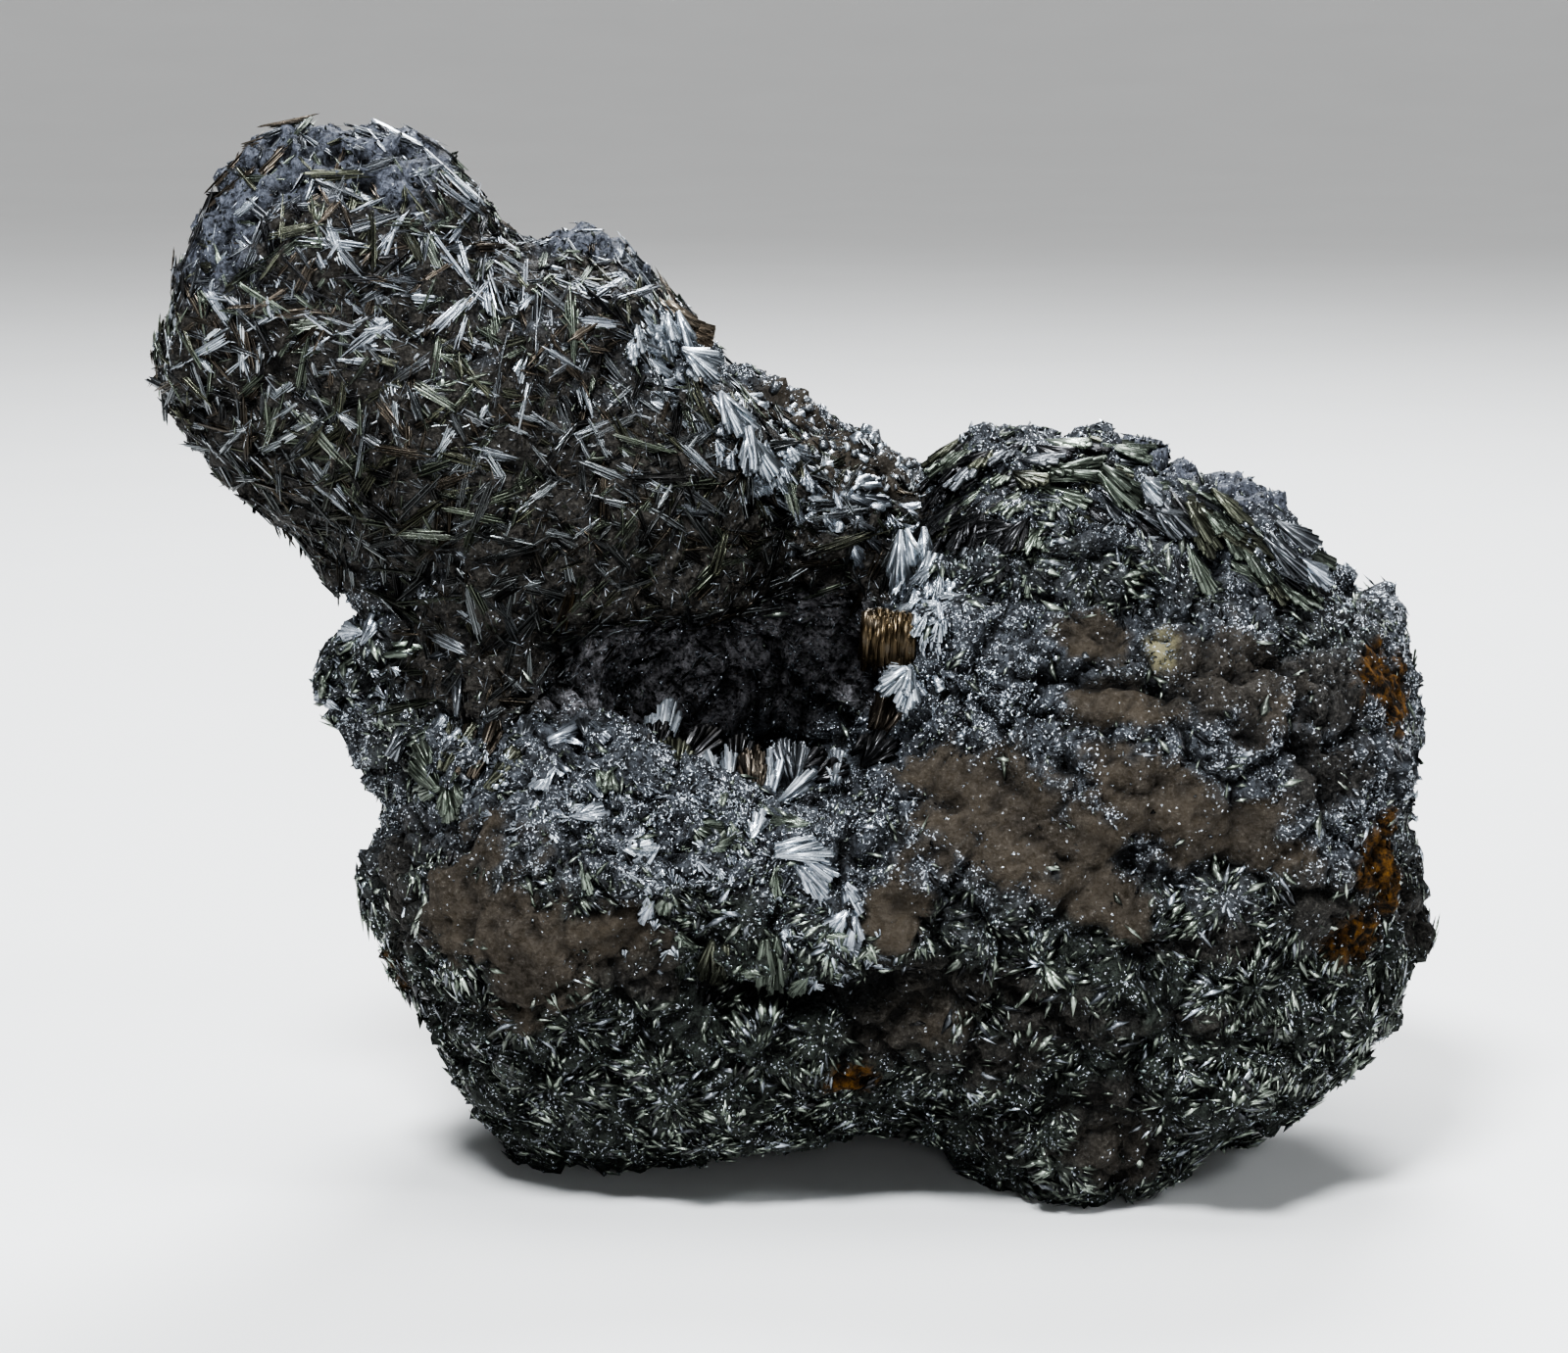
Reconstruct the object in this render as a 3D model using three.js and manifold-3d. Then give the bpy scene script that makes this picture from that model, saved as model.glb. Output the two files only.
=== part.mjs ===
// A pyrolusite specimen: one mass of manganese oxide that grew together, 119 mm wide.
//
// A broad block stands on worn feet. A blunt finger leans up to the left out of it, with a
// broken ridge running down from the finger to the right, and a low dome stands behind the
// ridge's end. A hollow (a vug) opens to the front between the finger and the block's lip.
// The mass is one piece, so it is one closed solid.
//
// The shape is a field: a function that gives the distance from a point to the surface, less
// than zero inside. Lobes are joined with soft seams, the hollow and the breaks are taken out
// of them, and marching cubes lay facets over the place where the field is zero.
//
// Millimetres, +Z up, the front faces -Y, origin at the bottom centre of the bounding box.

import * as THREE from "three";
import { ImprovedNoise } from "three/addons/math/ImprovedNoise.js";
import { MarchingCubes } from "three/addons/objects/MarchingCubes.js";
import { mergeVertices } from "three/addons/utils/BufferGeometryUtils.js";
import Module from "manifold-3d";

// Driving dimensions
const SPAN = 136; // side of the cube of space that the marching cubes fill
const MIDDLE = new THREE.Vector3(0, 0, 48); // its centre
const CELL = 3.1; // side of one cube, and about the length of a facet's edge
const SHYEST = 0.06 * CELL; // no grid point counts as nearer to the surface than this
const MOST_FACETS = 20000; // room for the facets
const FLOOR_CUT = 200; // side of the block that planes the feet flat
const SWELL = { size: 2.6, every: 17 }; // broad unevenness of the surface
const LUMPS = { size: 1.1, every: 7.5 }; // smaller unevenness
const NOISE_START = new THREE.Vector3(11.3, 5.7, 2.9); // place in the noise at the origin

// ---- fields ----

const noise = new ImprovedNoise();

function unevenness({ size, every }) {
  const q = new THREE.Vector3();
  return (p) => {
    q.copy(p).divideScalar(every).add(NOISE_START);
    return size * noise.noise(q.x, q.y, q.z);
  };
}

// From the part's frame to the shape's own. lean is how far, in degrees, the shape's long axis
// drops towards +X.
function inwardTo({ at, lean = 0 }) {
  const turned = new THREE.Matrix4().makeRotationY(THREE.MathUtils.degToRad(lean));
  return turned.setPosition(...at).invert();
}

// An ellipsoid with the half-axes half.
function lobe(shape) {
  const [a, b, c] = shape.half;
  const inward = inwardTo(shape);
  const q = new THREE.Vector3();
  return (p) => {
    q.copy(p).applyMatrix4(inward);
    const scaled = Math.hypot(q.x / a, q.y / b, q.z / c);
    const slope = Math.hypot(q.x / (a * a), q.y / (b * b), q.z / (c * c));
    return slope > 0 ? (scaled * (scaled - 1)) / slope : -Math.min(a, b, c);
  };
}

// A box with the half-sides half and its edges rounded to the radius round.
function slab(shape) {
  const inner = shape.half.map((side) => side - shape.round);
  const inward = inwardTo(shape);
  const q = new THREE.Vector3();
  return (p) => {
    q.copy(p).applyMatrix4(inward);
    const over = q.toArray().map((value, axis) => Math.abs(value) - inner[axis]);
    const outside = Math.hypot(...over.map((d) => Math.max(d, 0)));
    return outside + Math.min(Math.max(...over), 0) - shape.round;
  };
}

// Everything beyond the plane through point, on the side that away points to.
function beyond(point, away) {
  const normal = new THREE.Vector3(...away).normalize();
  const start = new THREE.Vector3(...point);
  const plane = new THREE.Plane().setFromNormalAndCoplanarPoint(normal, start);
  return (p) => -plane.distanceToPoint(p);
}

// The lesser of two distances, rounded over the width seam where they are nearly alike.
function softMin(a, b, seam) {
  const near = Math.max(seam - Math.abs(a - b), 0) / seam;
  return Math.min(a, b) - (near * near * seam) / 4;
}

function join(seam, ...shapes) {
  return (p) => shapes.map((shape) => shape(p)).reduce((a, b) => softMin(a, b, seam));
}

function take(seam, from, ...shapes) {
  return (p) => shapes.reduce((left, shape) => -softMin(-left, shape(p), seam), from(p));
}

// ---- the specimen ----

// The blunt finger: a rounded head, the shoulder under it, the root that it grows from with a
// belly that hangs over the hollow, and a small bump where the ridge starts.
const finger = join(
  6,
  lobe({ at: [-42.5, 0, 82], half: [17, 16.5, 16.5] }),
  lobe({ at: [-43.5, 0, 76], half: [13, 14, 11.5] }),
  lobe({ at: [-31.5, -1, 69.5], half: [17.5, 17, 16.5] }),
  lobe({ at: [-19, 1, 61], half: [20, 16, 16], lean: 20 }),
  lobe({ at: [-20, -1, 53], half: [21, 15, 12], lean: 12 }),
  lobe({ at: [-20, 1, 80], half: [8.5, 9, 7], lean: 15 }),
);

// The ridge that runs down from the finger to the right. Its top is broken off.
const ridgeBreak = beyond([-6, -6, 72.5], [0.55, -0.2, 0.81]);
const ridge = take(
  3,
  join(
    6,
    lobe({ at: [-9, 3, 69], half: [17, 12, 14], lean: 36 }),
    lobe({ at: [5, 6, 60], half: [13, 13, 12], lean: 30 }),
    lobe({ at: [-2, 8, 50], half: [20, 12, 14] }),
  ),
  ridgeBreak,
);

// The low dome at the right, behind the end of the ridge.
const dome = join(
  5,
  lobe({ at: [24.5, -3, 55.2], half: [15, 17, 13.5] }),
  lobe({ at: [37.5, 2, 51], half: [16, 19, 14], lean: 20 }),
);

// The broad block under it all: lumps that grew into each other round a solid core.
const lip = lobe({ at: [0, -21, 31.5], half: [26, 10, 11.5], lean: 4 });
const hollowEnd = lobe({ at: [18, -13, 46], half: [13, 13, 13] });
const leftSide = join(
  6,
  lobe({ at: [-21.5, -13, 27], half: [16, 15, 14] }),
  lobe({ at: [-8, -12, 17], half: [25, 14, 14] }),
  lobe({ at: [-27, -5, 43], half: [10, 12, 9] }),
  lobe({ at: [-12, 20, 30], half: [22, 16, 17], lean: -8 }),
);
const rightSide = join(
  6,
  lobe({ at: [34, -15, 36], half: [21, 14, 15], lean: 12 }),
  lobe({ at: [36, -11, 46], half: [15, 13, 11] }),
  lobe({ at: [30, -14, 20], half: [25, 15, 16] }),
  lobe({ at: [47, 2, 41], half: [12.5, 18, 15] }),
  lobe({ at: [45, 0, 23], half: [14.5, 20, 15.5] }),
  lobe({ at: [22, 22, 38], half: [26, 14, 18], lean: 14 }),
);
const core = slab({ at: [10, 0, 27], half: [44, 22, 21], round: 14 });
const block = join(6, core, lip, hollowEnd, leftSide, rightSide);

// Small rounded knobs on the left flank.
const knobs = join(
  1.5,
  lobe({ at: [-39.2, -4, 45.6], half: [4.8, 5, 4.4] }),
  lobe({ at: [-34.5, -4, 43.5], half: [4.5, 6, 4] }),
  lobe({ at: [-33, -6, 37], half: [4.6, 7, 4.6] }),
  lobe({ at: [-34.5, -6, 29], half: [4.6, 9, 5.5] }),
);

// The lumps that the block stands on.
const feet = join(
  4,
  lobe({ at: [24.5, -11, 9], half: [12.5, 13, 11.5] }),
  lobe({ at: [-18, -2, 10], half: [12, 12, 13] }),
  lobe({ at: [6, 17, 9], half: [26, 11, 13] }),
);

// The hollow between the finger's underside and the block's lip: a wide mouth at the front, a
// deeper pocket behind the lip, and a blind end at the right.
const vug = join(
  4,
  lobe({ at: [-8, -27, 48.5], half: [20, 17, 6.5], lean: 4 }),
  lobe({ at: [-3, -9, 44], half: [15, 12, 8.5] }),
  lobe({ at: [2, -18, 48], half: [8, 17, 8.5], lean: -20 }),
);

// Faces where the mass broke away from its neighbours.
const backBreak = beyond([0, 31, 30], [0.18, 1, -0.1]);
const backLeftBreak = beyond([-26, 25, 30], [-0.55, 1, 0.25]);

const grown = join(3, join(3, join(6, finger, ridge, block), dome), knobs, feet);
const mass = take(3, take(4, grown, backBreak, backLeftBreak), vug);
const swell = unevenness(SWELL);
const lumps = unevenness(LUMPS);
const field = (p) => mass(p) + swell(p) + lumps(p);

// ---- facets ----

const ore = new THREE.MeshStandardMaterial({ color: 0x2f3033, roughness: 0.55, metalness: 0.6 });

// A closed net of triangles over the place where the distance is zero.
function netOver(distance) {
  const cubes = new MarchingCubes(Math.round(SPAN / CELL), ore, false, false, MOST_FACETS);
  const { size, halfsize } = cubes;
  const p = new THREE.Vector3();
  cubes.isolation = 0;
  for (let n = 0; n < cubes.field.length; n++) {
    p.set(n % size, Math.floor(n / size) % size, Math.floor(n / (size * size)));
    p.divideScalar(halfsize).addScalar(-1).multiplyScalar(SPAN / 2).add(MIDDLE);
    const depth = -distance(p);
    cubes.field[n] = Math.sign(depth) * Math.max(Math.abs(depth), SHYEST);
  }
  cubes.update();
  const corners = cubes.positionArray.slice(0, cubes.count * 3);
  const net = new THREE.BufferGeometry();
  net.setAttribute("position", new THREE.BufferAttribute(corners, 3));
  net.scale(SPAN / 2, SPAN / 2, SPAN / 2).translate(...MIDDLE.toArray());
  return net;
}

const wasm = await Module();
wasm.setup();

function solidFrom(geometry) {
  geometry.deleteAttribute("normal");
  geometry.deleteAttribute("uv");
  const merged = mergeVertices(geometry, 1e-3);
  const vertProperties = merged.getAttribute("position").array;
  const triVerts = new Uint32Array(merged.index.array);
  return new wasm.Manifold(new wasm.Mesh({ numProp: 3, vertProperties, triVerts }));
}

// The solid as a geometry, moved so that the origin is at the bottom centre of its box.
function geometryOf(solid) {
  const mesh = solid.getMesh();
  const geometry = new THREE.BufferGeometry();
  geometry.setAttribute("position", new THREE.BufferAttribute(mesh.vertProperties, 3));
  geometry.setIndex(new THREE.BufferAttribute(mesh.triVerts, 1));
  geometry.computeBoundingBox();
  const { min, max } = geometry.boundingBox;
  geometry.translate(-(min.x + max.x) / 2, -(min.y + max.y) / 2, -min.z);
  geometry.computeVertexNormals();
  return geometry;
}

// The block of space under the floor planes the feet flat.
const underFloor = new THREE.BoxGeometry(FLOOR_CUT, FLOOR_CUT, FLOOR_CUT);
underFloor.translate(0, 0, -FLOOR_CUT / 2);
const standing = solidFrom(netOver(field)).subtract(solidFrom(underFloor));

const specimen = new THREE.Mesh(geometryOf(standing), ore);
specimen.name = "pyrolusite_mass";

const part = new THREE.Group();
part.add(specimen);

export default part;
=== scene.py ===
# The looks of a pyrolusite specimen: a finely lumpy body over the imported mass, and the crystals
# that grow on it, as joined meshes. Lengths are in millimetres until a mesh is made from them.
import math

import bpy
import numpy as np
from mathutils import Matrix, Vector, noise
from mathutils.kdtree import KDTree


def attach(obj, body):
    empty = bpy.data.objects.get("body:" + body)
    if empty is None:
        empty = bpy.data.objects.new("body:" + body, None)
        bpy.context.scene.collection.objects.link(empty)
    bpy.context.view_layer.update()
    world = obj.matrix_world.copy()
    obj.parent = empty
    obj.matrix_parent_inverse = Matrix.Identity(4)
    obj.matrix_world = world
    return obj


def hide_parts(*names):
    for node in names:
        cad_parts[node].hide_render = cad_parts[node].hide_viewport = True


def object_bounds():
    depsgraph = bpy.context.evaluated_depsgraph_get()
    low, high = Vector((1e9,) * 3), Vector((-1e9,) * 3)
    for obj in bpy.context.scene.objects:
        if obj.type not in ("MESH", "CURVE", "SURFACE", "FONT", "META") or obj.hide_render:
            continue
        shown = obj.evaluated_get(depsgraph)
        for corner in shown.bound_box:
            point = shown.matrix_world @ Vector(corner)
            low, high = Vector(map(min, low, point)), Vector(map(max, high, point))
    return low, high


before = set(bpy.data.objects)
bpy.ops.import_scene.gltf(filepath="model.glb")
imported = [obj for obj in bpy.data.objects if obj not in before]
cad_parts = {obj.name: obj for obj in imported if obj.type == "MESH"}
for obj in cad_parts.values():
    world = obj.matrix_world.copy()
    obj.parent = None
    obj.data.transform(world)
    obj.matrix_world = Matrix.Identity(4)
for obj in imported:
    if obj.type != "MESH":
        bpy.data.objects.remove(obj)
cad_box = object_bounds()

MM = 0.001
MASS = "pyrolusite_mass"
UV_MAP = "OFBake"
rng = np.random.default_rng(20)

low, high = (np.array(corner) / MM for corner in cad_box)
middle = (low + high) / 2


# ---- places and zones ----

DOWN_RIGHT = np.array([0.75, -0.15, -0.65])
DOWN_LEFT = np.array([-0.55, -0.2, -0.8])


def unit(vectors):
    return vectors / np.maximum(np.linalg.norm(vectors, axis=-1, keepdims=True), 1e-9)


def place(right, back, up):
    """A point, from fractions of the CAD box: 0 is its left, front or bottom, and 1 the other side."""
    return low + (high - low) * np.array([right, back, up])


def smooth_step(value, start, end):
    t = np.clip((value - start) / (end - start), 0, 1)
    return t * t * (3 - 2 * t)


def noise_places(points, every, seed):
    """The points in a noise's own units, every millimetres to one, and elsewhere for each seed."""
    shift = Vector((seed, 2.3 * seed, 3.1 * seed))
    return [Vector(point) / every + shift for point in points]


def perlin(points, every, seed=0.0):
    """Noise from -1 to 1 that swells about once in every millimetres."""
    return np.array([noise.noise(at) for at in noise_places(points, every, seed)])


def cells(points, every, seed=0.0):
    """How far each point is from the middle of its cell: 0 there, and nearly 1 in the corners."""
    return np.array([noise.voronoi(at)[0][0] for at in noise_places(points, every, seed)])


def away(points, every, seed=0.0):
    """Which way each point lies from the middle of its cell."""
    return np.array([at - noise.voronoi(at)[1][0] for at in noise_places(points, every, seed)])


APART = 7.3  # takes the middles of neighbouring cells far enough apart for unlike random tilts
SEAM = 0.16  # width of the seam between two blocks, as a share of a block
HALF = Vector((0.5, 0.5, 0.5))


def crags(points, every, seed=0.0):
    """Broken blocks: the height of a tilted face in each cell, and how near its border is."""
    height, border = np.empty(len(points)), np.empty(len(points))
    for index, at in enumerate(noise_places(points, every, seed)):
        distances, centres = noise.voronoi(at)
        tilt = noise.cell_vector(centres[0] * APART)
        height[index] = (at - centres[0]).dot(tilt - HALF) + 0.5 * (tilt.x - 0.5)
        border[index] = distances[1] - distances[0]
    return height, 1 - smooth_step(border, 0.0, SEAM)


def within(points, spots, soft=0.3, wobble=0.0):
    """1 inside the ellipsoids of spots, 0 outside. A spot is three fractions and three half-axes."""
    depth = np.full(len(points), -9.0)
    for right, back, up, *half in spots:
        reach = np.linalg.norm((points - place(right, back, up)) / half, axis=1)
        depth = np.maximum(depth, 1 - reach)
    return smooth_step(depth + wobble, 0, soft)


FINGER = [
    (0.15, 0.5, 0.83, 22, 22, 21),
    (0.23, 0.5, 0.70, 21, 23, 19),
    (0.33, 0.5, 0.61, 21, 23, 19),
    (0.42, 0.42, 0.63, 18, 19, 14),
    (0.53, 0.42, 0.60, 11, 12, 8),
    (0.25, 0.26, 0.51, 9, 11, 6),
    (0.355, 0.50, 0.84, 12, 14, 9),
    (0.12, 0.50, 0.67, 14, 22, 13),
]
SOOT = [
    (0.13, 0.39, 0.985, 17, 19, 9),
    (0.06, 0.40, 0.91, 7, 16, 8),
    (0.33, 0.55, 0.87, 9, 9, 6),
    (0.86, 0.62, 0.67, 17, 15, 8),
    (0.80, 0.44, 0.695, 8, 8, 4),
    (0.855, 0.44, 0.655, 8, 8, 4),
]
HOLLOW = [(0.43, 0.40, 0.47, 20, 16, 8), (0.53, 0.44, 0.49, 7, 13, 8)]
RIDGE_BAND = [
    (0.400, 0.42, 0.800, 4.0, 8, 4.5),
    (0.415, 0.38, 0.755, 4.0, 7, 4.5),
    (0.450, 0.37, 0.715, 4.5, 6, 4.5),
    (0.482, 0.37, 0.675, 4.5, 6, 4.5),
    (0.510, 0.38, 0.645, 4.0, 6, 4.0),
    (0.560, 0.41, 0.620, 5.0, 5, 2.5),
]
RIDGE_GRAINS = [(0.50, 0.54, 0.715, 8, 10, 5), (0.56, 0.54, 0.675, 8, 11, 5)]
RIGHT_WALL = [
    (0.592, 0.29, 0.598, 4.0, 6, 4.5),
    (0.600, 0.24, 0.570, 4.5, 6, 4.0),
    (0.583, 0.20, 0.495, 3.0, 5, 3.0),
]
BROWN = [
    (0.245, 0.08, 0.315, 6.0, 9, 8.0),
    (0.290, 0.05, 0.275, 7.5, 9, 8.5),
    (0.350, 0.03, 0.262, 7.0, 8, 5.5),
    (0.625, 0.05, 0.405, 6.5, 8, 6.0),
    (0.665, 0.04, 0.375, 7.0, 8, 6.5),
    (0.745, 0.07, 0.425, 4.5, 8, 3.8),
    (0.780, 0.06, 0.400, 5.5, 8, 4.5),
    (0.820, 0.06, 0.368, 6.0, 8, 4.5),
    (0.860, 0.08, 0.345, 4.5, 8, 3.2),
    (0.715, 0.03, 0.330, 4.0, 8, 6.0),
    (0.740, 0.04, 0.300, 4.5, 8, 4.5),
    (0.823, 0.11, 0.520, 6.5, 8, 5.5),
    (0.850, 0.11, 0.485, 5.0, 8, 5.0),
    (0.718, 0.14, 0.540, 4.0, 7, 2.2),
    (0.750, 0.10, 0.482, 8.0, 6, 2.0),
    (0.575, 0.02, 0.297, 3.6, 6, 3.8),
    (0.601, 0.07, 0.193, 5.5, 7, 3.5),
    (0.744, 0.12, 0.060, 6.0, 8, 3.5),
    (0.30, 0.97, 0.35, 15, 9, 12),
    (0.62, 0.98, 0.50, 13, 8, 9),
    (0.75, 0.95, 0.22, 12, 9, 7),
    (0.98, 0.62, 0.30, 8, 10, 7),
    (0.15, 0.80, 0.66, 8, 9, 7),
]
OCHRE = [
    (0.965, 0.30, 0.473, 4.5, 9, 4.5),
    (0.955, 0.15, 0.335, 4.0, 8, 6.5),
    (0.925, 0.13, 0.261, 3.5, 7, 3.5),
    (0.540, 0.11, 0.131, 2.6, 6, 1.8),
    (0.185, 0.22, 0.205, 2.0, 6, 3.0),
    (0.93, 0.85, 0.42, 6, 7, 7),
    (0.40, 0.98, 0.18, 6, 6, 4),
]
CREAM = [(0.772, 0.13, 0.534, 1.7, 4, 2.0)]
# Near-black spots: partly the rock's own dark colour and partly painted shade in recesses and under ledges.
# There the brown, silver and green colours, the glitter and the crystals are mostly taken out.
DARK_AND_SHADOWED = [
    (0.900, 0.16, 0.48, 5, 8, 7),
    (0.900, 0.11, 0.42, 6, 8, 4),
    (0.890, 0.08, 0.30, 6, 7, 4),
    (0.600, 0.05, 0.23, 8, 7, 4),
    (0.690, 0.04, 0.20, 9, 7, 4.5),
    (0.638, 0.07, 0.16, 8, 7, 4),
    (0.735, 0.09, 0.11, 6, 7, 3.5),
    (0.564, 0.08, 0.19, 5, 7, 4),
    (0.373, 0.05, 0.235, 6, 7, 3),
    (0.744, 0.12, 0.060, 8, 8, 5),
    (0.835, 0.11, 0.510, 8, 8, 7),
    (0.200, 0.22, 0.30, 4, 8, 8),
    (0.45, 0.95, 0.25, 10, 8, 6),
    (0.85, 0.85, 0.30, 8, 8, 6),
    (0.97, 0.45, 0.25, 6, 9, 6),
    (0.815, 0.07, 0.272, 6, 7, 2.0),
    (0.800, 0.08, 0.195, 6, 7, 2.2),
    (0.620, 0.10, 0.050, 8, 8, 4),
]
SHADED = [
    (0.640, 0.25, 0.600, 5, 9, 4.0),
    (0.685, 0.24, 0.605, 6, 9, 4.0),
    (0.745, 0.22, 0.590, 7, 9, 3.5),
    (0.805, 0.22, 0.575, 5, 9, 3.0),
    (0.885, 0.25, 0.540, 6, 9, 5.0),
    (0.950, 0.30, 0.530, 5, 10, 3.5),
    (0.760, 0.12, 0.500, 6, 8, 1.5),
    (0.160, 0.36, 0.490, 8, 11, 6),
    (0.190, 0.30, 0.420, 6, 9, 5),
]
LIP = [
    (0.245, 0.19, 0.420, 6, 7, 5),
    (0.314, 0.08, 0.400, 8, 8, 4),
    (0.374, 0.03, 0.385, 8, 7, 5),
    (0.432, 0.02, 0.350, 8, 6, 6),
    (0.483, 0.03, 0.360, 6, 6, 5),
    (0.520, 0.05, 0.260, 6, 6, 5),
    (0.410, 0.06, 0.270, 6, 6, 3),
    (0.148, 0.34, 0.480, 6, 7, 6),
]
BACK_BEDS = [
    (0.30, 0.82, 0.45, 10, 9, 8),
    (0.62, 0.90, 0.32, 12, 9, 8),
    (0.96, 0.60, 0.50, 8, 10, 8),
    (0.08, 0.50, 0.35, 9, 10, 8),
]
BRIGHT = [
    (0.400, 0.08, 0.390, 12, 9, 4.5),
    (0.470, 0.02, 0.330, 8, 7, 6.5),
    (0.520, 0.03, 0.270, 6, 7, 4.0),
    (0.610, 0.22, 0.560, 6, 8, 7.0),
    (0.640, 0.12, 0.480, 10, 8, 6.0),
    (0.560, 0.08, 0.400, 6, 8, 5.0),
    (0.900, 0.16, 0.400, 6, 8, 4.0),
    (0.940, 0.35, 0.580, 7, 9, 6.0),
]
DOME_LEFT = [(0.655, 0.33, 0.66, 6.5, 13, 7.5)]
DOME_FRONT = [
    (0.715, 0.30, 0.68, 7, 9, 5),
    (0.790, 0.29, 0.65, 8, 9, 5),
    (0.860, 0.31, 0.61, 8, 9, 4.5),
]
DOME_BACK = [(0.74, 0.75, 0.62, 18, 14, 9)]


def cleft_depth(points, route, wide):
    """1 on the line through route, falling to 0 at wide millimetres from it."""
    best = np.full(len(points), 1e9)
    corners = [place(*corner) for corner in route]
    for start, end in zip(corners, corners[1:]):
        run = end - start
        t = np.clip((points - start) @ run / (run @ run), 0, 1)
        best = np.minimum(best, np.linalg.norm(points - start - t[:, None] * run, axis=1))
    return smooth_step(-best, -wide, 0)


CLEFTS = [  # route, half-width, depth
    ([(0.67, 0.12, 0.512), (0.728, 0.11, 0.503), (0.785, 0.08, 0.497)], 1.0, 1.5),
    ([(0.53, 0.04, 0.37), (0.535, 0.02, 0.29)], 0.8, 1.5),
    ([(0.33, 0.02, 0.30), (0.39, 0.01, 0.302)], 0.9, 1.6),
    ([(0.42, 0.07, 0.235), (0.49, 0.07, 0.212), (0.57, 0.07, 0.22)], 2.2, 2.2),
    ([(0.97, 0.18, 0.42), (0.955, 0.24, 0.38)], 2.4, 2.5),
    ([(0.70, 0.07, 0.44), (0.745, 0.05, 0.385)], 1.1, 1.6),
    ([(0.87, 0.09, 0.45), (0.90, 0.11, 0.40)], 1.5, 2.0),
    ([(0.81, 0.10, 0.475), (0.84, 0.09, 0.46)], 1.8, 1.8),
    ([(0.62, 0.07, 0.10), (0.66, 0.07, 0.06)], 1.5, 2.0),
]


MOUNDS = [  # right, back, up, half-axes, how far the surface swells there
    (0.44, 0.14, 0.43, 14, 7, 5, 1.6),
    (0.58, 0.22, 0.50, 4, 6, 7, 1.8),
    (0.035, 0.50, 0.93, 9, 14, 8, 2.6),
    (0.110, 0.50, 0.990, 5, 14, 5, -1.2),
    (0.200, 0.50, 0.985, 8, 12, 4, 1.1),
    (0.155, 0.48, 0.535, 5, 10, 4, -2.6),
    (0.100, 0.50, 0.635, 6, 10, 5, 1.5),
    (0.035, 0.50, 0.720, 6, 12, 6, -1.1),
    (0.165, 0.42, 0.385, 5, 9, 5, 2.0),
    (0.205, 0.42, 0.190, 5, 8, 5, 1.0),
    (0.975, 0.45, 0.215, 5, 10, 5, 1.0),
    (0.575, 0.50, 0.695, 7, 10, 4, 1.8),
    (0.635, 0.42, 0.705, 8, 12, 5, 2.2),
    (0.780, 0.52, 0.69, 10, 12, 6, -1.5),
    (0.965, 0.44, 0.545, 6, 10, 6, 1.6),
]


GREEN_BELOW, SILVER_ABOVE = 24, 36  # heights: between them the green druse turns silver


class Zones:
    """How strongly each kind of surface shows at each of some points."""

    NAMES = ("finger", "soot", "brown", "ochre", "cream", "hollow", "silver", "green")

    def __init__(self, points):
        ragged = 0.35 * perlin(points, 6.0, 3.3) + 0.25 * perlin(points, 2.4, 8.1)
        ragged += 0.22 * perlin(points, 1.1, 1.7)
        self.hollow = within(points, HOLLOW, 0.35, ragged / 2)
        self.finger = within(points, FINGER, 0.12, ragged / 3) * (1 - 0.85 * self.hollow)
        self.soot = within(points, SOOT, 0.35, ragged)
        block = 1 - self.finger
        # Painted shade, in part: these spots take the colours out where recesses and ledges are shaded.
        dark = within(points, DARK_AND_SHADOWED, 0.5, 1.4 * ragged)
        self.crumb = within(points, RIDGE_GRAINS, 0.3, ragged / 2)
        self.ochre = within(points, OCHRE, 0.4, ragged * 1.6) * block
        self.brown = within(points, BROWN, 0.45, 1.5 * ragged) * block * (1 - self.ochre)
        self.brown = np.maximum(self.brown * (1 - 0.65 * dark), 0.8 * self.crumb)
        self.cream = within(points, CREAM, 0.8, 1.3 * ragged)
        bare = block * (1 - self.hollow) * (1 - self.brown) * (1 - self.ochre) * (1 - 0.85 * self.soot)
        high = smooth_step(points[:, 2] + 16 * ragged, GREEN_BELOW, SILVER_ABOVE)
        high *= 1 - 0.6 * within(points, SHADED, 0.6, ragged)
        self.silver = bare * high * (1 - 0.9 * dark)
        self.green = bare * (1 - high) * (1 - 0.93 * dark)
        jagged = points + (0.9 * perlin(points, 3.0, 6.6) + 0.8 * perlin(points, 1.3, 6.1))[:, None]
        self.cleft = np.zeros(len(points))
        for route, wide, deep in CLEFTS:
            self.cleft = np.maximum(self.cleft, deep * cleft_depth(jagged, route, wide))


# ---- the body ----

VOXEL = 0.68  # side of the cubes that the finer body is made from
SOFTEN = 14  # rounds of smoothing that wear its edges off
DENT_ROUNDS = 6  # how many neighbours away the surface round a dent is taken
BLOCK_SIZE, CHIP_SIZE = 7.5, 3.0  # from one broken block to the next, and from chip to chip


def remeshed(node):
    """A finer copy of a CAD node's mesh, with its facets' edges worn off."""
    rough = bpy.data.objects.new("rough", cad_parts[node].data.copy())
    bpy.context.scene.collection.objects.link(rough)
    remesh = rough.modifiers.new("Remesh", "REMESH")
    remesh.mode = "VOXEL"
    remesh.voxel_size = VOXEL * MM
    soften = rough.modifiers.new("Soften", "SMOOTH")
    soften.factor = 0.5
    soften.iterations = SOFTEN
    graph = bpy.context.evaluated_depsgraph_get()
    mesh = bpy.data.meshes.new_from_object(rough.evaluated_get(graph))
    bpy.data.objects.remove(rough)
    return mesh


def drawn_out(points, direction, times):
    """The points squeezed along direction, so that noise there is that many times as long."""
    run = unit(np.array(direction, float))
    return points - (1 - 1 / times) * (points @ run)[:, None] * run


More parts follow.
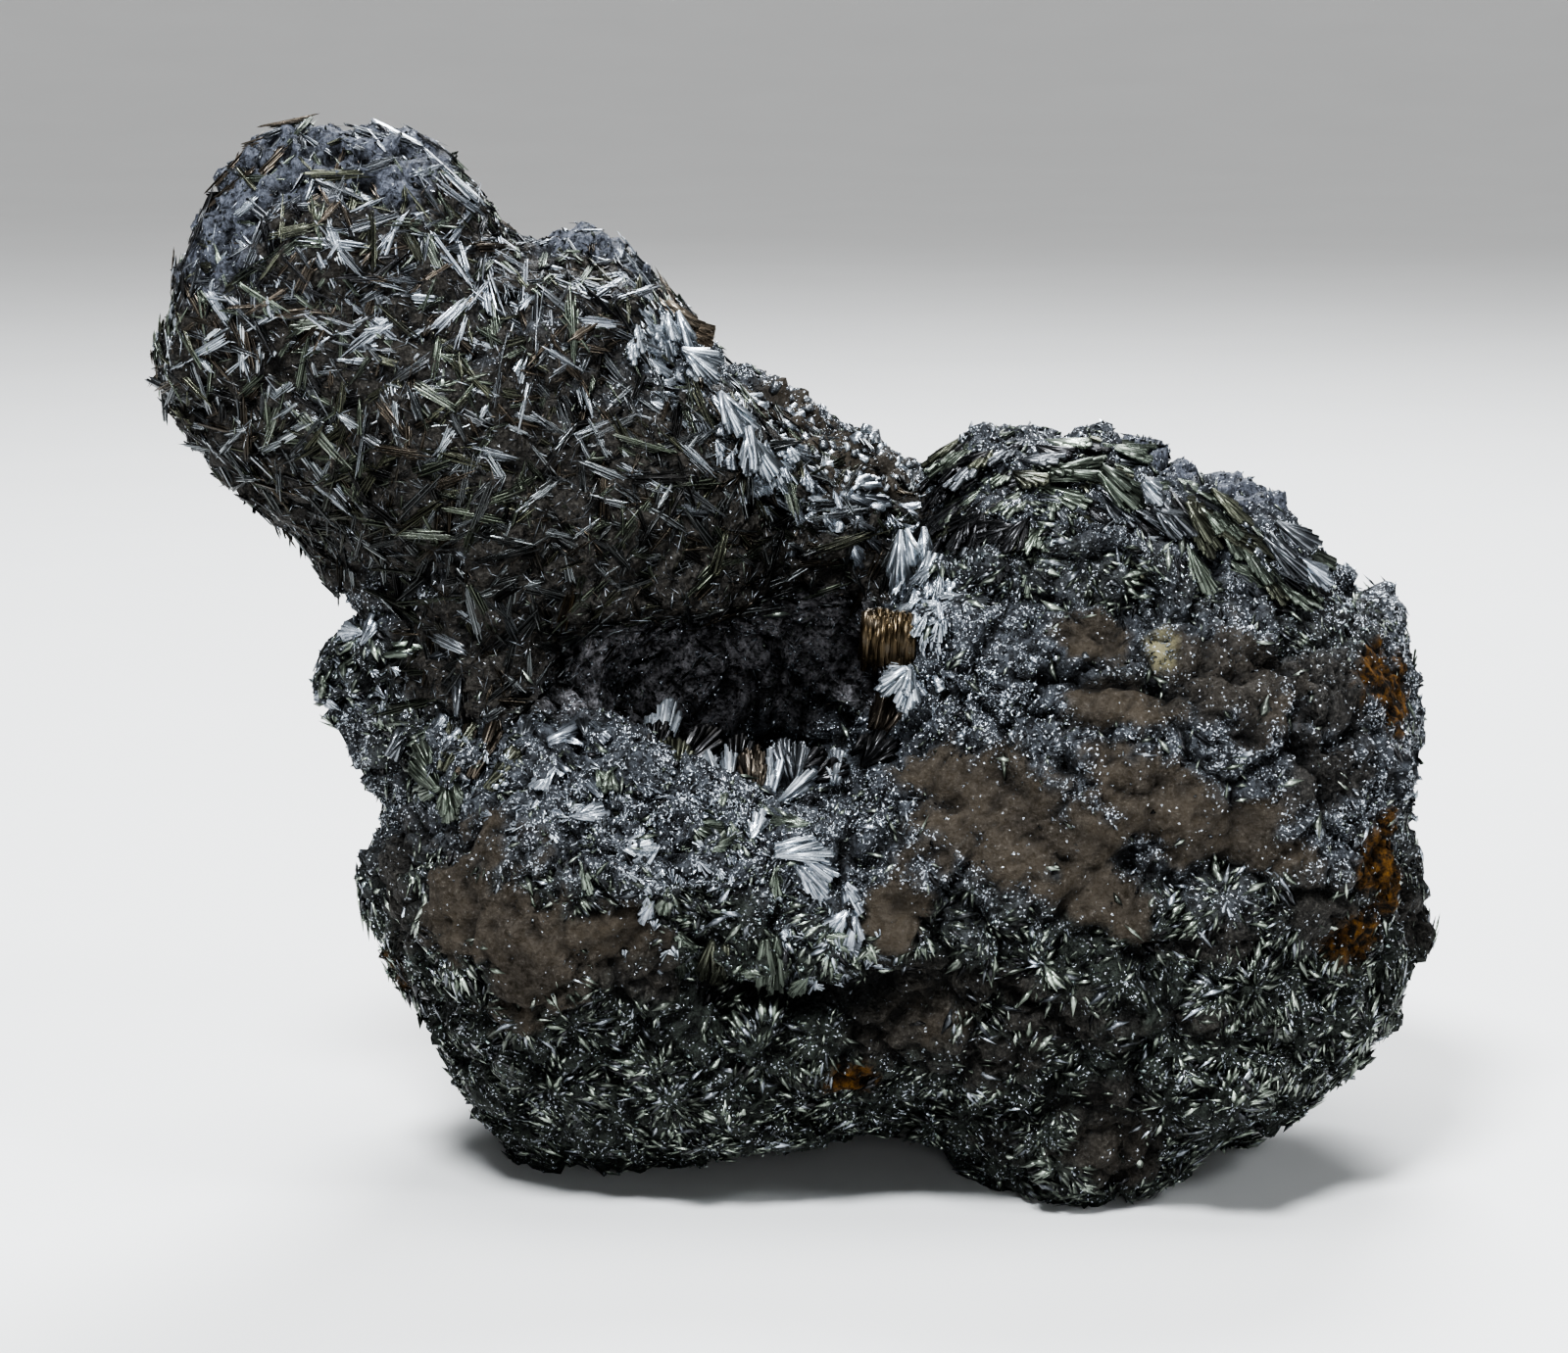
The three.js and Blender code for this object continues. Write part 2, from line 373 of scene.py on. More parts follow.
def relief(points, zones):
    """How far the surface stands out of the smooth body, in millimetres."""
    rough = 1 - 0.7 * zones.brown - 0.25 * zones.ochre
    calm = 1 - 0.6 * zones.finger
    bent = points + 1.2 * perlin(points, 4.0, 11.0)[:, None]
    blocks, seams = crags(bent, BLOCK_SIZE)
    height = (2.4 * blocks - 1.3 * seams) * calm * (0.2 + 0.8 * rough)
    chips, joints = crags(bent, CHIP_SIZE, 4.0)
    height += (1.3 * chips - 0.8 * joints) * rough * calm
    knobs = 0.45 - cells(points, 1.5, 4.0)
    grit = perlin(points, 1.25, 2.0)
    height += (0.5 * knobs + 0.34 * grit) * rough
    height += 0.9 * perlin(points, 11.0, 14.0) + 0.6 * perlin(points, 3.4, 9.0) * zones.finger

    fluted = drawn_out(points, DOWN_RIGHT, 2.6)
    lumps = 0.65 * perlin(fluted, 2.6, 19.0) + 0.3 * (0.5 - cells(fluted, 2.0, 21.0))
    lumps += 0.36 * perlin(fluted, 1.15, 29.0)
    holes = smooth_step(cells(points, 3.1, 23.0), 0.42, 0.2)
    holes *= smooth_step(perlin(points, 4.0, 24.0), 0.0, 0.3)
    height += (lumps - 0.7 * holes) * zones.brown

    grains = 0.5 - cells(points, 2.8, 71.0)
    height += 3.2 * grains * zones.crumb

    pits = smooth_step(cells(points, 2.2, 7.0), 0.75, 0.25)
    pits *= smooth_step(perlin(points, 5.0, 12.0), -0.1, 0.2)
    beads = 0.5 - cells(points, 1.7, 31.0)
    height += (0.7 * beads - 1.5 * pits) * zones.soot
    for *spot, swell in MOUNDS:
        height += swell * within(points, [spot], 0.8)
    return height - zones.cleft


def hollowness(mesh, points, normals):
    """How far each vertex lies below its neighbours' plane: 0 on crests, 1 in dents."""
    edges = numbers(mesh.edges, "vertices", 2, np.int32).astype(int)
    mean = points.copy()
    for _ in range(DENT_ROUNDS):
        total, count = mean.copy(), np.ones(len(points))
        for near, far in (edges.T, edges.T[::-1]):
            np.add.at(total, near, mean[far])
            np.add.at(count, near, 1)
        mean = total / count[:, None]
    return smooth_step(((mean - points) * normals).sum(1), -0.10, 0.45)


def numbers(collection, key, width, kind=np.float32):
    found = np.empty(len(collection) * width, kind)
    collection.foreach_get(key, found)
    return found.reshape(-1, width).astype(float)


def float_attribute(mesh, name, values):
    mesh.attributes.new(name, "FLOAT", "POINT").data.foreach_set("value", values.astype(np.float32))


def show(name, mesh, material):
    """Links a piece, with its name and material, to the scene, under the root body."""
    piece = bpy.data.objects.new(name, mesh)
    mesh.materials.clear()
    mesh.materials.append(material)
    bpy.context.scene.collection.objects.link(piece)
    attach(piece, "root")
    return piece


# ---- materials ----

class Nodes:
    """Short ways to add nodes to a material."""

    def __init__(self, name):
        self.material = bpy.data.materials.new(name)
        self.material.use_nodes = True
        self.tree = self.material.node_tree
        self.shader = self.tree.nodes["Principled BSDF"]

    def node(self, kind, **settings):
        made = self.tree.nodes.new(kind)
        for key, value in settings.items():
            setattr(made, key, value)
        return made

    def wire(self, source, target):
        self.tree.links.new(source, target)

    def feed(self, socket, value):
        if isinstance(value, bpy.types.NodeSocket):
            self.wire(value, socket)
        else:
            socket.default_value = value

    def attribute(self, name):
        return self.node("ShaderNodeAttribute", attribute_name=name).outputs["Fac"]

    def tint(self, name):
        return self.node("ShaderNodeAttribute", attribute_name=name).outputs["Color"]

    def texture(self, kind, every):
        """A texture in the piece's own space that swells about once in every millimetres."""
        made = self.node(kind)
        self.wire(self.node("ShaderNodeTexCoord").outputs["Object"], made.inputs["Vector"])
        made.inputs["Scale"].default_value = 1 / (every * MM)
        return made

    def noise(self, every, detail=3.0, rough=0.55):
        """Noise from 0 to 1."""
        made = self.texture("ShaderNodeTexNoise", every)
        made.inputs["Detail"].default_value = detail
        made.inputs["Roughness"].default_value = rough
        return made.outputs["Fac"]

    def cells(self, every):
        """How far a place is from the middle of its cell."""
        return self.texture("ShaderNodeTexVoronoi", every).outputs["Distance"]

    def math(self, operation, a, b):
        made = self.node("ShaderNodeMath", operation=operation)
        self.feed(made.inputs[0], a)
        self.feed(made.inputs[1], b)
        return made.outputs[0]

    def span(self, value, start, end, to_start=0.0, to_end=1.0):
        """value, moved from the range start to end into the range to_start to to_end."""
        made = self.node("ShaderNodeMapRange")
        keys = ("Value", "From Min", "From Max", "To Min", "To Max")
        for key, given in zip(keys, (value, start, end, to_start, to_end)):
            self.feed(made.inputs[key], given)
        return made.outputs["Result"]

    def mix(self, factor, a, b, blend="MIX"):
        made = self.node("ShaderNodeMix", data_type="RGBA", blend_type=blend)
        self.feed(made.inputs[0], factor)
        for socket, colour in zip(made.inputs[6:8], (a, b)):
            self.feed(socket, (*colour, 1.0) if isinstance(colour, tuple) else colour)
        return made.outputs[2]

    def vector(self, operation, a, b=(0.0, 0.0, 0.0), scale=1.0):
        made = self.node("ShaderNodeVectorMath", operation=operation)
        self.feed(made.inputs[0], a)
        self.feed(made.inputs[1], b)
        if operation == "SCALE":
            self.feed(made.inputs["Scale"], scale)
        return made.outputs[0]

    def facets(self, every, tilt):
        """Cells, with a random number and a random tilt of the surface in each."""
        made = self.texture("ShaderNodeTexVoronoi", every)
        middle_out = self.vector("SUBTRACT", made.outputs["Color"], HALF)
        apart = self.node("ShaderNodeSeparateColor")
        self.wire(made.outputs["Color"], apart.inputs["Color"])
        return apart.outputs["Red"], self.vector("SCALE", middle_out, scale=tilt)

    def turned_to(self, tilt, share):
        """The surface's normal, tilted where share is 1."""
        straight = self.node("ShaderNodeNewGeometry").outputs["Normal"]
        tilted = self.vector("ADD", straight, self.vector("SCALE", tilt, scale=share))
        return self.vector("NORMALIZE", tilted)

    def bump(self, height, deep, under=None):
        made = self.node("ShaderNodeBump")
        self.wire(height, made.inputs["Height"])
        made.inputs["Distance"].default_value = deep * MM
        if under is not None:
            self.wire(under, made.inputs["Normal"])
        return made.outputs["Normal"]


GLITTER_SIZE, GLITTER_TILT = 0.17, 1.5  # width of a glittering facet, and how far it tilts
GLITTER = (0.42, 0.45, 0.49)
PALE_SPOT = (0.18, 0.165, 0.10)
# The near-black colour of the painted shade in the body's dents and clefts.
PAINTED_DEEP_SHADE = (0.0025, 0.0025, 0.0025)


def body_material():
    n = Nodes("ore_body")
    fine = n.noise(0.9, 5.0, 0.65)
    wide = n.noise(7.0, 3.0, 0.6)
    grit = n.noise(0.35, 3.0, 0.7)
    grain = n.math("ADD", fine, grit)
    is_brown = n.attribute("brown")

    colour = n.mix(n.span(fine, 0.35, 0.7), (0.004, 0.0035, 0.003), (0.034, 0.030, 0.025))
    colour = n.mix(n.span(grit, 0.5, 0.72, 0.0, 0.8), colour, (0.085, 0.080, 0.072))
    for zone, noise_in_it, start, end, dim, bright in (
        ("green", grain, 0.80, 1.25, (0.002, 0.0025, 0.002), (0.036, 0.044, 0.036)),
        ("silver", fine, 0.35, 0.65, (0.004, 0.004, 0.005), (0.070, 0.077, 0.088)),
        ("hollow", grain, 0.80, 1.35, (0.010, 0.010, 0.011), (0.40, 0.39, 0.41)),
        ("soot", grain, 0.75, 1.3, (0.009, 0.010, 0.013), (0.155, 0.168, 0.205)),
    ):
        tone = n.mix(n.span(noise_in_it, start, end), dim, bright)
        colour = n.mix(n.attribute(zone), colour, tone)
    brown = n.mix(n.span(wide, 0.35, 0.65), (0.013, 0.010, 0.006), (0.046, 0.037, 0.026))
    brown = n.mix(n.span(grain, 0.75, 1.45, 0.0, 0.8), brown, (0.088, 0.077, 0.066))
    brown = n.mix(n.span(grit, 0.62, 0.72, 0.0, 0.4), brown, (0.17, 0.16, 0.15))
    colour = n.mix(is_brown, colour, brown)
    ochre = n.mix(n.span(fine, 0.42, 0.72), (0.006, 0.004, 0.002), (0.175, 0.085, 0.018))
    colour = n.mix(n.attribute("ochre"), colour, ochre)
    colour = n.mix(n.attribute("cream"), colour, PALE_SPOT)

    chance, facet = n.facets(GLITTER_SIZE, GLITTER_TILT)
    glitter = n.math("ADD", n.attribute("silver"), n.math("MULTIPLY", n.attribute("green"), 0.4))
    glitter = n.math("MULTIPLY", glitter, n.span(n.noise(3.2), 0.40, 0.60, 0.25, 1.3))
    glitter = n.math("ADD", n.math("MULTIPLY", glitter, 0.30), 0.008)
    glitter = n.math("LESS_THAN", chance, glitter)
    colour = n.mix(glitter, colour, GLITTER)
    # Painted shade: the dents and the clefts are painted near-black, the dents less so on the brown patches.
    dent_shade = n.math("MULTIPLY", n.attribute("dent_shade"), n.span(is_brown, 0, 1, 0.85, 0.5))
    colour = n.mix(n.math("MAXIMUM", n.attribute("cleft"), dent_shade), colour, PAINTED_DEEP_SHADE)
    n.wire(colour, n.shader.inputs["Base Color"])

    n.wire(n.math("MULTIPLY", glitter, 0.9), n.shader.inputs["Metallic"])
    matt = n.math("MAXIMUM", is_brown, n.attribute("ochre"))
    rough = n.span(matt, 0, 1, 0.55, 0.95)
    n.wire(n.span(glitter, 0, 1, rough, 0.25), n.shader.inputs["Roughness"])
    n.shader.inputs["Specular IOR Level"].default_value = 0.22

    sharp = n.span(is_brown, 0, 1, 1.0, 0.35)
    under = n.bump(n.math("MULTIPLY", n.cells(1.1), sharp), 0.25, n.turned_to(facet, glitter))
    under = n.bump(n.math("MULTIPLY", n.cells(0.6), sharp), 0.22, under)
    under = n.bump(n.math("MULTIPLY", grit, sharp), 0.22, under)
    n.wire(n.bump(fine, 0.45, under), n.shader.inputs["Normal"])
    return n.material


STRIPE_LENGTH = 12  # how many times as long as wide a line on a crystal is
# Painted shade: the colour that darkens the low lines of the striations.
GROOVE_SHADE = (0.45, 0.45, 0.45)
DUST = (0.03, 0.028, 0.025)


def crystal_material(name, grid, metallic, roughness, stripes):
    """Striated metallic crystals, dusty here and there, in the colour that the mesh gives each,
    with painted shade in the grooves between their lines.

    The map is grid crystals wide, and stripes is how many lines run round one of them.
    """
    n = Nodes(name)
    uv = n.node("ShaderNodeUVMap", uv_map=UV_MAP).outputs["UV"]
    stretch = n.node("ShaderNodeMapping")
    n.wire(uv, stretch.inputs["Vector"])
    stretch.inputs["Scale"].default_value = (stripes * grid, stripes * grid / STRIPE_LENGTH, 1.0)
    lines = n.node("ShaderNodeTexNoise")
    n.wire(stretch.outputs["Vector"], lines.inputs["Vector"])
    lines.inputs["Scale"].default_value = 1.0
    lines.inputs["Detail"].default_value = 2.0
    stripe = lines.outputs["Fac"]
    # Painted shade: the stripes are darker where the bump below makes grooves.
    shade = n.mix(n.span(stripe, 0.3, 0.7), GROOVE_SHADE, (1.0, 1.0, 1.0))
    clean = n.mix(1.0, n.tint("tone"), shade, "MULTIPLY")
    dust = n.noise(1.4)
    n.wire(n.mix(n.span(dust, 0.5, 0.75, 0.0, 0.5), clean, DUST), n.shader.inputs["Base Color"])
    n.wire(n.span(dust, 0.5, 0.75, metallic, metallic * 0.5), n.shader.inputs["Metallic"])
    n.wire(n.span(stripe, 0.3, 0.7, roughness * 1.3, roughness * 0.8), n.shader.inputs["Roughness"])
    n.wire(n.bump(stripe, 0.06), n.shader.inputs["Normal"])
    return n.material


# ---- crystals ----

def turned(vectors, axis, angle):
    """vectors turned about axis, row by row."""
    c, s = np.cos(angle)[:, None], np.sin(angle)[:, None]
    along = (vectors * axis).sum(1, keepdims=True)
    return vectors * c + np.cross(axis, vectors) * s + axis * along * (1 - c)


def pattern(sides, rings):
    """The faces of a pointed crystal, and where their corners lie on a unit map.

    Its corners are those of one ring, or of two with flanks between them, and then its two tips.
    """
    near, far = sides * rings, sides * rings + 1
    last = sides * (rings - 1)
    low_edge, high_edge = (0.2, 0.8) if rings == 2 else (0.5, 0.5)
    pairs = [(k, (k + 1) % sides) for k in range(sides)]
    edges = [(k / sides, (k + 1) / sides) for k in range(sides)]
    faces, maps = [], []
    if rings == 2:
        faces += [(a, b, b + last) for a, b in pairs] + [(a, b + last, a + last) for a, b in pairs]
        maps += [((u, low_edge), (w, low_edge), (w, high_edge)) for u, w in edges]
        maps += [((u, low_edge), (w, high_edge), (u, high_edge)) for u, w in edges]
    faces += [(near, b, a) for a, b in pairs] + [(far, a + last, b + last) for a, b in pairs]
    maps += [(((u + w) / 2, 0.0), (w, low_edge), (u, low_edge)) for u, w in edges]
    maps += [(((u + w) / 2, 1.0), (u, high_edge), (w, high_edge)) for u, w in edges]
    return np.array(faces), np.array(maps)


CLEAR = 0.05  # crystals that would reach lower than this above the floor are left out
MARGIN = 0.06  # how much of its square on the map stays empty on each side of a crystal
SKEW = 0.7  # how far aside a tip can be, as a share of the half-width


class Crystals:
    """Crystals gathered for one joined mesh.

    sides is 3 or 4. shoulders is the range of where the flanks end, as a share of the way to the
    tip, or None for double pyramids.
    """

    def __init__(self, sides, shoulders=None):
        self.sides, self.shoulders = sides, shoulders
        self.parts = []
        self.grid = 1

    def add(self, centre, along, up, size, tone, taper=1.0):
        """size has half-lengths, half-widths and half-thicknesses. taper narrows the near ends."""
        count = len(centre)
        part = [np.broadcast_to(a, (count, 3)) for a in (centre, along, up, size, tone)]
        self.parts.append((*part, np.full((count, 1), taper)))

    def mesh(self, name):
        centre, along, up, size, tone, taper = (np.concatenate(a) for a in zip(*self.parts))
        count = len(centre)
        along = unit(along)
        across = unit(np.cross(up, along))
        up = np.cross(along, across)
        start = math.pi / 2 if self.sides == 3 else math.pi / 4
        corner = start + 2 * math.pi * np.arange(self.sides) / self.sides
        section = (
            across[:, None] * size[:, None, 1:2] * np.cos(corner)[None, :, None]
            + up[:, None] * size[:, None, 2:3] * np.sin(corner)[None, :, None]
        )
        reach = along * size[:, :1]
        if self.shoulders:
            shoulder = rng.uniform(*self.shoulders, (count, 2, 1))
            back = centre[:, None] - (reach * shoulder[:, 0])[:, None] + section * taper[:, None]
            front = centre[:, None] + (reach * shoulder[:, 1])[:, None] + section
            rings = [back, front]
        else:
            rings = [centre[:, None] + section]
        skew = rng.uniform(-SKEW, SKEW, (count, 2, 1)) * across[:, None] * size[:, None, 1:2]
        tips = centre[:, None] + np.stack([-reach, reach], 1) + skew
        points = np.concatenate([*rings, tips], 1)
        above = points[:, :, 2].min(1) > low[2] + CLEAR
        points, tone, count = points[above], tone[above], int(above.sum())
        faces, maps = pattern(self.sides, len(rings))
        corners = faces[None] + np.arange(count)[:, None, None] * points.shape[1]
        grid = self.grid = math.ceil(math.sqrt(count))
        cell = np.stack([np.arange(count) % grid, np.arange(count) // grid], 1)
        uv = (cell[:, None, None] + MARGIN + (1 - 2 * MARGIN) * maps[None]) / grid
        tone = np.repeat(tone, points.shape[1], axis=0)
        flat = points.reshape(-1, 3), corners.reshape(-1, 3), uv.reshape(-1, 2)
        return triangle_mesh(name, *flat, tone)


def triangle_mesh(name, points, corners, uv, tone):
    mesh = bpy.data.meshes.new(name)
    mesh.vertices.add(len(points))
    mesh.vertices.foreach_set("co", (points * MM).astype(np.float32).ravel())
    mesh.loops.add(corners.size)
    mesh.loops.foreach_set("vertex_index", corners.astype(np.int32).ravel())
    mesh.polygons.add(len(corners))
    mesh.polygons.foreach_set("loop_start", np.arange(0, corners.size, 3, dtype=np.int32))
    mesh.update(calc_edges=True)
    mesh.uv_layers.new(name=UV_MAP).data.foreach_set("uv", uv.astype(np.float32).ravel())
    colour = mesh.attributes.new("tone", "FLOAT_COLOR", "POINT")
    colour.data.foreach_set("color", np.c_[tone, np.ones(len(tone))].astype(np.float32).ravel())
    print(name, len(corners), "triangles")
    return mesh


class Ground:
    """The finished body's surface, to grow crystals on."""

    def __init__(self, mesh, smooth_normals, zones):
        mesh.calc_loop_triangles()
        corners = np.empty(len(mesh.loop_triangles) * 3, np.int32)
        mesh.loop_triangles.foreach_get("vertices", corners)
        self.corners = corners.reshape(-1, 3)
        self.points = numbers(mesh.vertices, "co", 3) / MM
        a, b, c = (self.points[self.corners[:, k]] for k in range(3))
        self.area = np.linalg.norm(np.cross(b - a, c - a), axis=1) / 2
        self.normals = smooth_normals
        self.zones = zones

    def scatter(self, share, each, spacing=0.0):
        """Random places, about one in each square millimetres where share is 1.

        Gives the places, their normals and a vertex next to each. No two are within spacing.
        """
        weight = share[self.corners].mean(1) * self.area
        weight[weight < 1e-6] = 0
        count = int(weight.sum() / each)
        picked = rng.choice(len(weight), count, p=weight / weight.sum())
        part = rng.dirichlet((1, 1, 1), count)
        corners = self.corners[picked]
        where = (self.points[corners] * part[:, :, None]).sum(1)
        normal = unit((self.normals[corners] * part[:, :, None]).sum(1))
        if spacing:
            kept = spaced(where, spacing)
            where, normal, corners = where[kept], normal[kept], corners[kept]
        return where, normal, corners[:, 0]


def spaced(points, gap):
    """Indices of points, dropping each that lies within gap of one kept before it."""
    tree = KDTree(len(points))
    for index, point in enumerate(points):
        tree.insert(point, index)
    tree.balance()
    kept = np.ones(len(points), bool)
    for index, point in enumerate(points):
        if kept[index]:
            for _, other, _ in tree.find_range(point, gap):
                if other > index:
                    kept[other] = False
    return np.flatnonzero(kept)


def tangents(normals):
    """A random direction along the surface at each normal."""
    return unit(np.cross(normals, rng.normal(size=normals.shape)))


WHITE = (0.83, 0.90, 0.98)
SILVER = (0.62, 0.67, 0.74)
STEEL = (0.24, 0.255, 0.275)
SAGE = (0.46, 0.51, 0.44)
SHADE = (0.055, 0.055, 0.058)
MOSS = (0.210, 0.240, 0.200)
FERN = (0.27, 0.31, 0.26)
OLIVE = (0.165, 0.172, 0.132)
BRONZE = (0.150, 0.128, 0.105)
GOLD = (0.084, 0.062, 0.036)


def tones(count, shares):
    """A colour for each crystal, from shares, a list of (share, colour), each varied a little."""
    weights = np.array([share for share, _ in shares])
    palette = np.array([colour for _, colour in shares])
    picked = palette[rng.choice(len(palette), count, p=weights / weights.sum())]
    return picked * rng.uniform(0.7, 1.3, (count, 1))


ABREAST = 1.4  # from one strand of a sheaf to the next, in half-widths


def bundle(crystals, root, normal, along, strands, half_length, half_width, tone, loose=0.12):
    """A sheaf at each root: strands side by side, of uneven lengths, rounded across."""
    count = len(root)
    along = unit(along)
    across = unit(np.cross(normal, along))
    for step in np.linspace(-1, 1, strands):
        direction = turned(along, normal, -0.04 * step + rng.normal(0, 0.028, count))
        length = half_length * (1 - 0.35 * step * step) * rng.uniform(0.6, 1.05, count)
        side = half_width * step * (strands - 1) / 2 * ABREAST
        lift = half_width * (rng.uniform(-0.6, 1.0, count) + 1.1 - 1.8 * step * step)
        shift = rng.normal(0, loose, count) * half_length
        top = turned(normal, direction, rng.uniform(-0.9, 0.9, count))
        wide = half_width * rng.uniform(0.7, 1.3, count)
        size = np.stack([length, wide, wide * rng.uniform(0.5, 1.0, count)], 1)
        centre = root + across * side[:, None] + normal * lift[:, None] + direction * shift[:, None]
        crystals.add(centre, direction, top, size, tone * rng.uniform(0.22, 1.25, (count, 1)))


def fan(
    crystals, root, normal, along, strands, half, half_width, tone, spread,
    ragged=0.25, narrow=0.35, streak=0.45, fold_and_shade=0.0,
):
    """A fan at each root: strands that touch each other, spread by spread radians to each side.

    half is half of its length. ragged is how much shorter a strand can be, narrow how wide it is
    at the root, streak how much darker than tone, and fold_and_shade how deep the fan's folds are,
    with their crests painted lighter and their troughs darker as painted light and shade.
    """
    count = len(root)
    along = unit(along)
    face = normal if crystals.sides == 4 else -normal
    start = rng.uniform(0, 2 * math.pi, (count, 1))
    for step in np.linspace(-1, 1, strands):
        direction = turned(along, normal, -spread * step + rng.normal(0, 0.03, count))
        length = half * (1 - 0.3 * step * step) * rng.uniform(1 - ragged, 1.05, count)
        top = turned(face, direction, rng.uniform(-0.4, 0.4, count))
        wide = np.maximum(half_width, 1.5 * half * spread / strands)
        wide = wide * rng.uniform(0.8, 1.3, count)
        size = np.stack([length, wide, wide * rng.uniform(0.5, 1.1, count)], 1)
        wave = fold_and_shade * np.sin(4.5 * step + start)
        lift = 0.7 * wave + rng.uniform(-0.12, 0.12, (count, 1))
        centre = root + direction * length[:, None] + normal * lift
        # Painted light and shade: the fold's crests are painted lighter and its troughs darker.
        shade = rng.uniform(1 - streak, 1 + streak / 2, (count, 1)) * (1 + 1.4 * wave - 0.5 * fold_and_shade)
        crystals.add(centre, direction, top, size, tone * shade, narrow)


def leaning(normal, low_tilt, high_tilt, towards=None, scatter=1.0):
    """Directions that rise from the surface by a random tilt, any way round or roughly towards one."""
    flat = tangents(normal) * scatter
    if towards is not None:
        wanted = np.broadcast_to(towards, normal.shape)
        flat = flat + unit(wanted - normal * (wanted * normal).sum(1, keepdims=True))
    flat = unit(flat - normal * (flat * normal).sum(1, keepdims=True))
    tilt = np.radians(rng.uniform(low_tilt, high_tilt, len(normal)))[:, None]
    return flat * np.cos(tilt) + normal * np.sin(tilt)


def on_front(ground, right, up):
    """The foremost point of the body at fractions of the box's width and height, and its normal."""
    aside = (ground.points - place(right, 0, up))[:, [0, 2]]
    near = np.flatnonzero(np.hypot(*aside.T) < 0.8)
    first = near[ground.points[near, 1].argmin()]
    return ground.points[first : first + 1], ground.normals[first : first + 1]


def pointing(normal, turn):
    """The direction along the surface that looks, from the front, turned by turn degrees from +X."""
    angle = math.radians(turn)
    flat = np.array([[math.cos(angle), 0, math.sin(angle)]])
    return unit(flat - normal * (flat * normal).sum())


LARGE_SHEAVES = [  # right, up, which way they point in degrees, half-length, tone
    (0.157, 0.895, -72, 2.6, WHITE),
    (0.186, 0.915, 24, 3.1, STEEL),
    (0.186, 0.965, 40, 2.2, STEEL),
    (0.215, 0.885, -65, 2.4, OLIVE),
    (0.228, 0.883, -70, 2.3, SAGE),
    (0.250, 0.885, 33, 2.3, STEEL),
    (0.244, 0.830, 46, 2.9, SILVER),
    (0.223, 0.838, -5, 1.3, WHITE),
    (0.187, 0.817, -37, 1.9, SILVER),
    (0.270, 0.842, 84, 1.9, SILVER),
    (0.132, 0.858, 62, 2.1, BRONZE),
    (0.131, 0.848, -62, 2.0, STEEL),
    (0.063, 0.838, -50, 2.6, SILVER),
    (0.090, 0.860, -86, 3.0, STEEL),
    (0.085, 0.928, 30, 1.5, WHITE),
    (0.157, 0.940, 66, 2.3, STEEL),
    (0.118, 0.903, 12, 2.8, OLIVE),
    (0.172, 0.830, 64, 2.4, BRONZE),
    (0.142, 0.817, 3, 2.7, SAGE),
    (0.191, 0.783, -18, 2.6, OLIVE),
    (0.226, 0.762, -33, 2.6, SAGE),
    (0.249, 0.780, -50, 2.9, OLIVE),
    (0.283, 0.757, -9, 2.2, OLIVE),
    (0.331, 0.780, -53, 2.3, BRONZE),
    (0.351, 0.820, 3, 2.5, SILVER),
    (0.346, 0.850, -17, 2.0, STEEL),
    (0.382, 0.858, -82, 2.5, SILVER),
    (0.140, 0.722, -46, 4.4, SAGE),
    (0.098, 0.733, 62, 3.0, SAGE),
    (0.191, 0.735, -48, 2.5, BRONZE),
    (0.178, 0.710, -30, 2.0, STEEL),
    (0.140, 0.652, -33, 3.6, SILVER),
    (0.145, 0.664, -48, 2.5, SILVER),
    (0.176, 0.625, -64, 3.2, STEEL),
    (0.230, 0.680, 20, 3.3, BRONZE),
    (0.236, 0.660, 12, 3.2, OLIVE),
    (0.216, 0.628, 4, 3.7, SAGE),
    (0.225, 0.700, -35, 2.6, STEEL),
    (0.275, 0.706, -13, 2.4, SILVER),
    (0.326, 0.677, -22, 2.3, STEEL),
    (0.425, 0.697, -40, 2.4, SILVER),
    (0.435, 0.677, -50, 2.6, SILVER),
    (0.380, 0.680, -32, 2.8, SILVER),
    (0.427, 0.655, -27, 3.4, STEEL),
    (0.423, 0.643, -3, 4.3, SILVER),
    (0.476, 0.650, -68, 2.5, OLIVE),
    (0.490, 0.645, -80, 2.0, SAGE),
    (0.440, 0.612, 66, 2.7, OLIVE),
    (0.535, 0.628, 8, 3.2, SILVER),
    (0.538, 0.612, 17, 3.6, OLIVE),
    (0.530, 0.645, 6, 3.4, STEEL),
    (0.322, 0.565, 74, 2.5, GOLD),
    (0.245, 0.548, -25, 2.6, SILVER),
    (0.280, 0.543, -65, 2.6, STEEL),
    (0.236, 0.523, -16, 2.6, SILVER),
]


# The sheaves' brightening with height is painted light from above.
DUSK, DAY = 57, 88  # heights between which the sheaves grow brighter


def painted_height_light(root):
    """How bright the sheaves are: brightest and silvery at the finger's head, as painted light from above,
    and darker lower down, as painted shade, where they are also browner.
    """
    high = smooth_step(root[:, 2:3], DUSK, DAY)
    return (0.34 + 1.0 * high) * (1 - (1 - high) * np.array([0.0, 0.02, 0.10]))


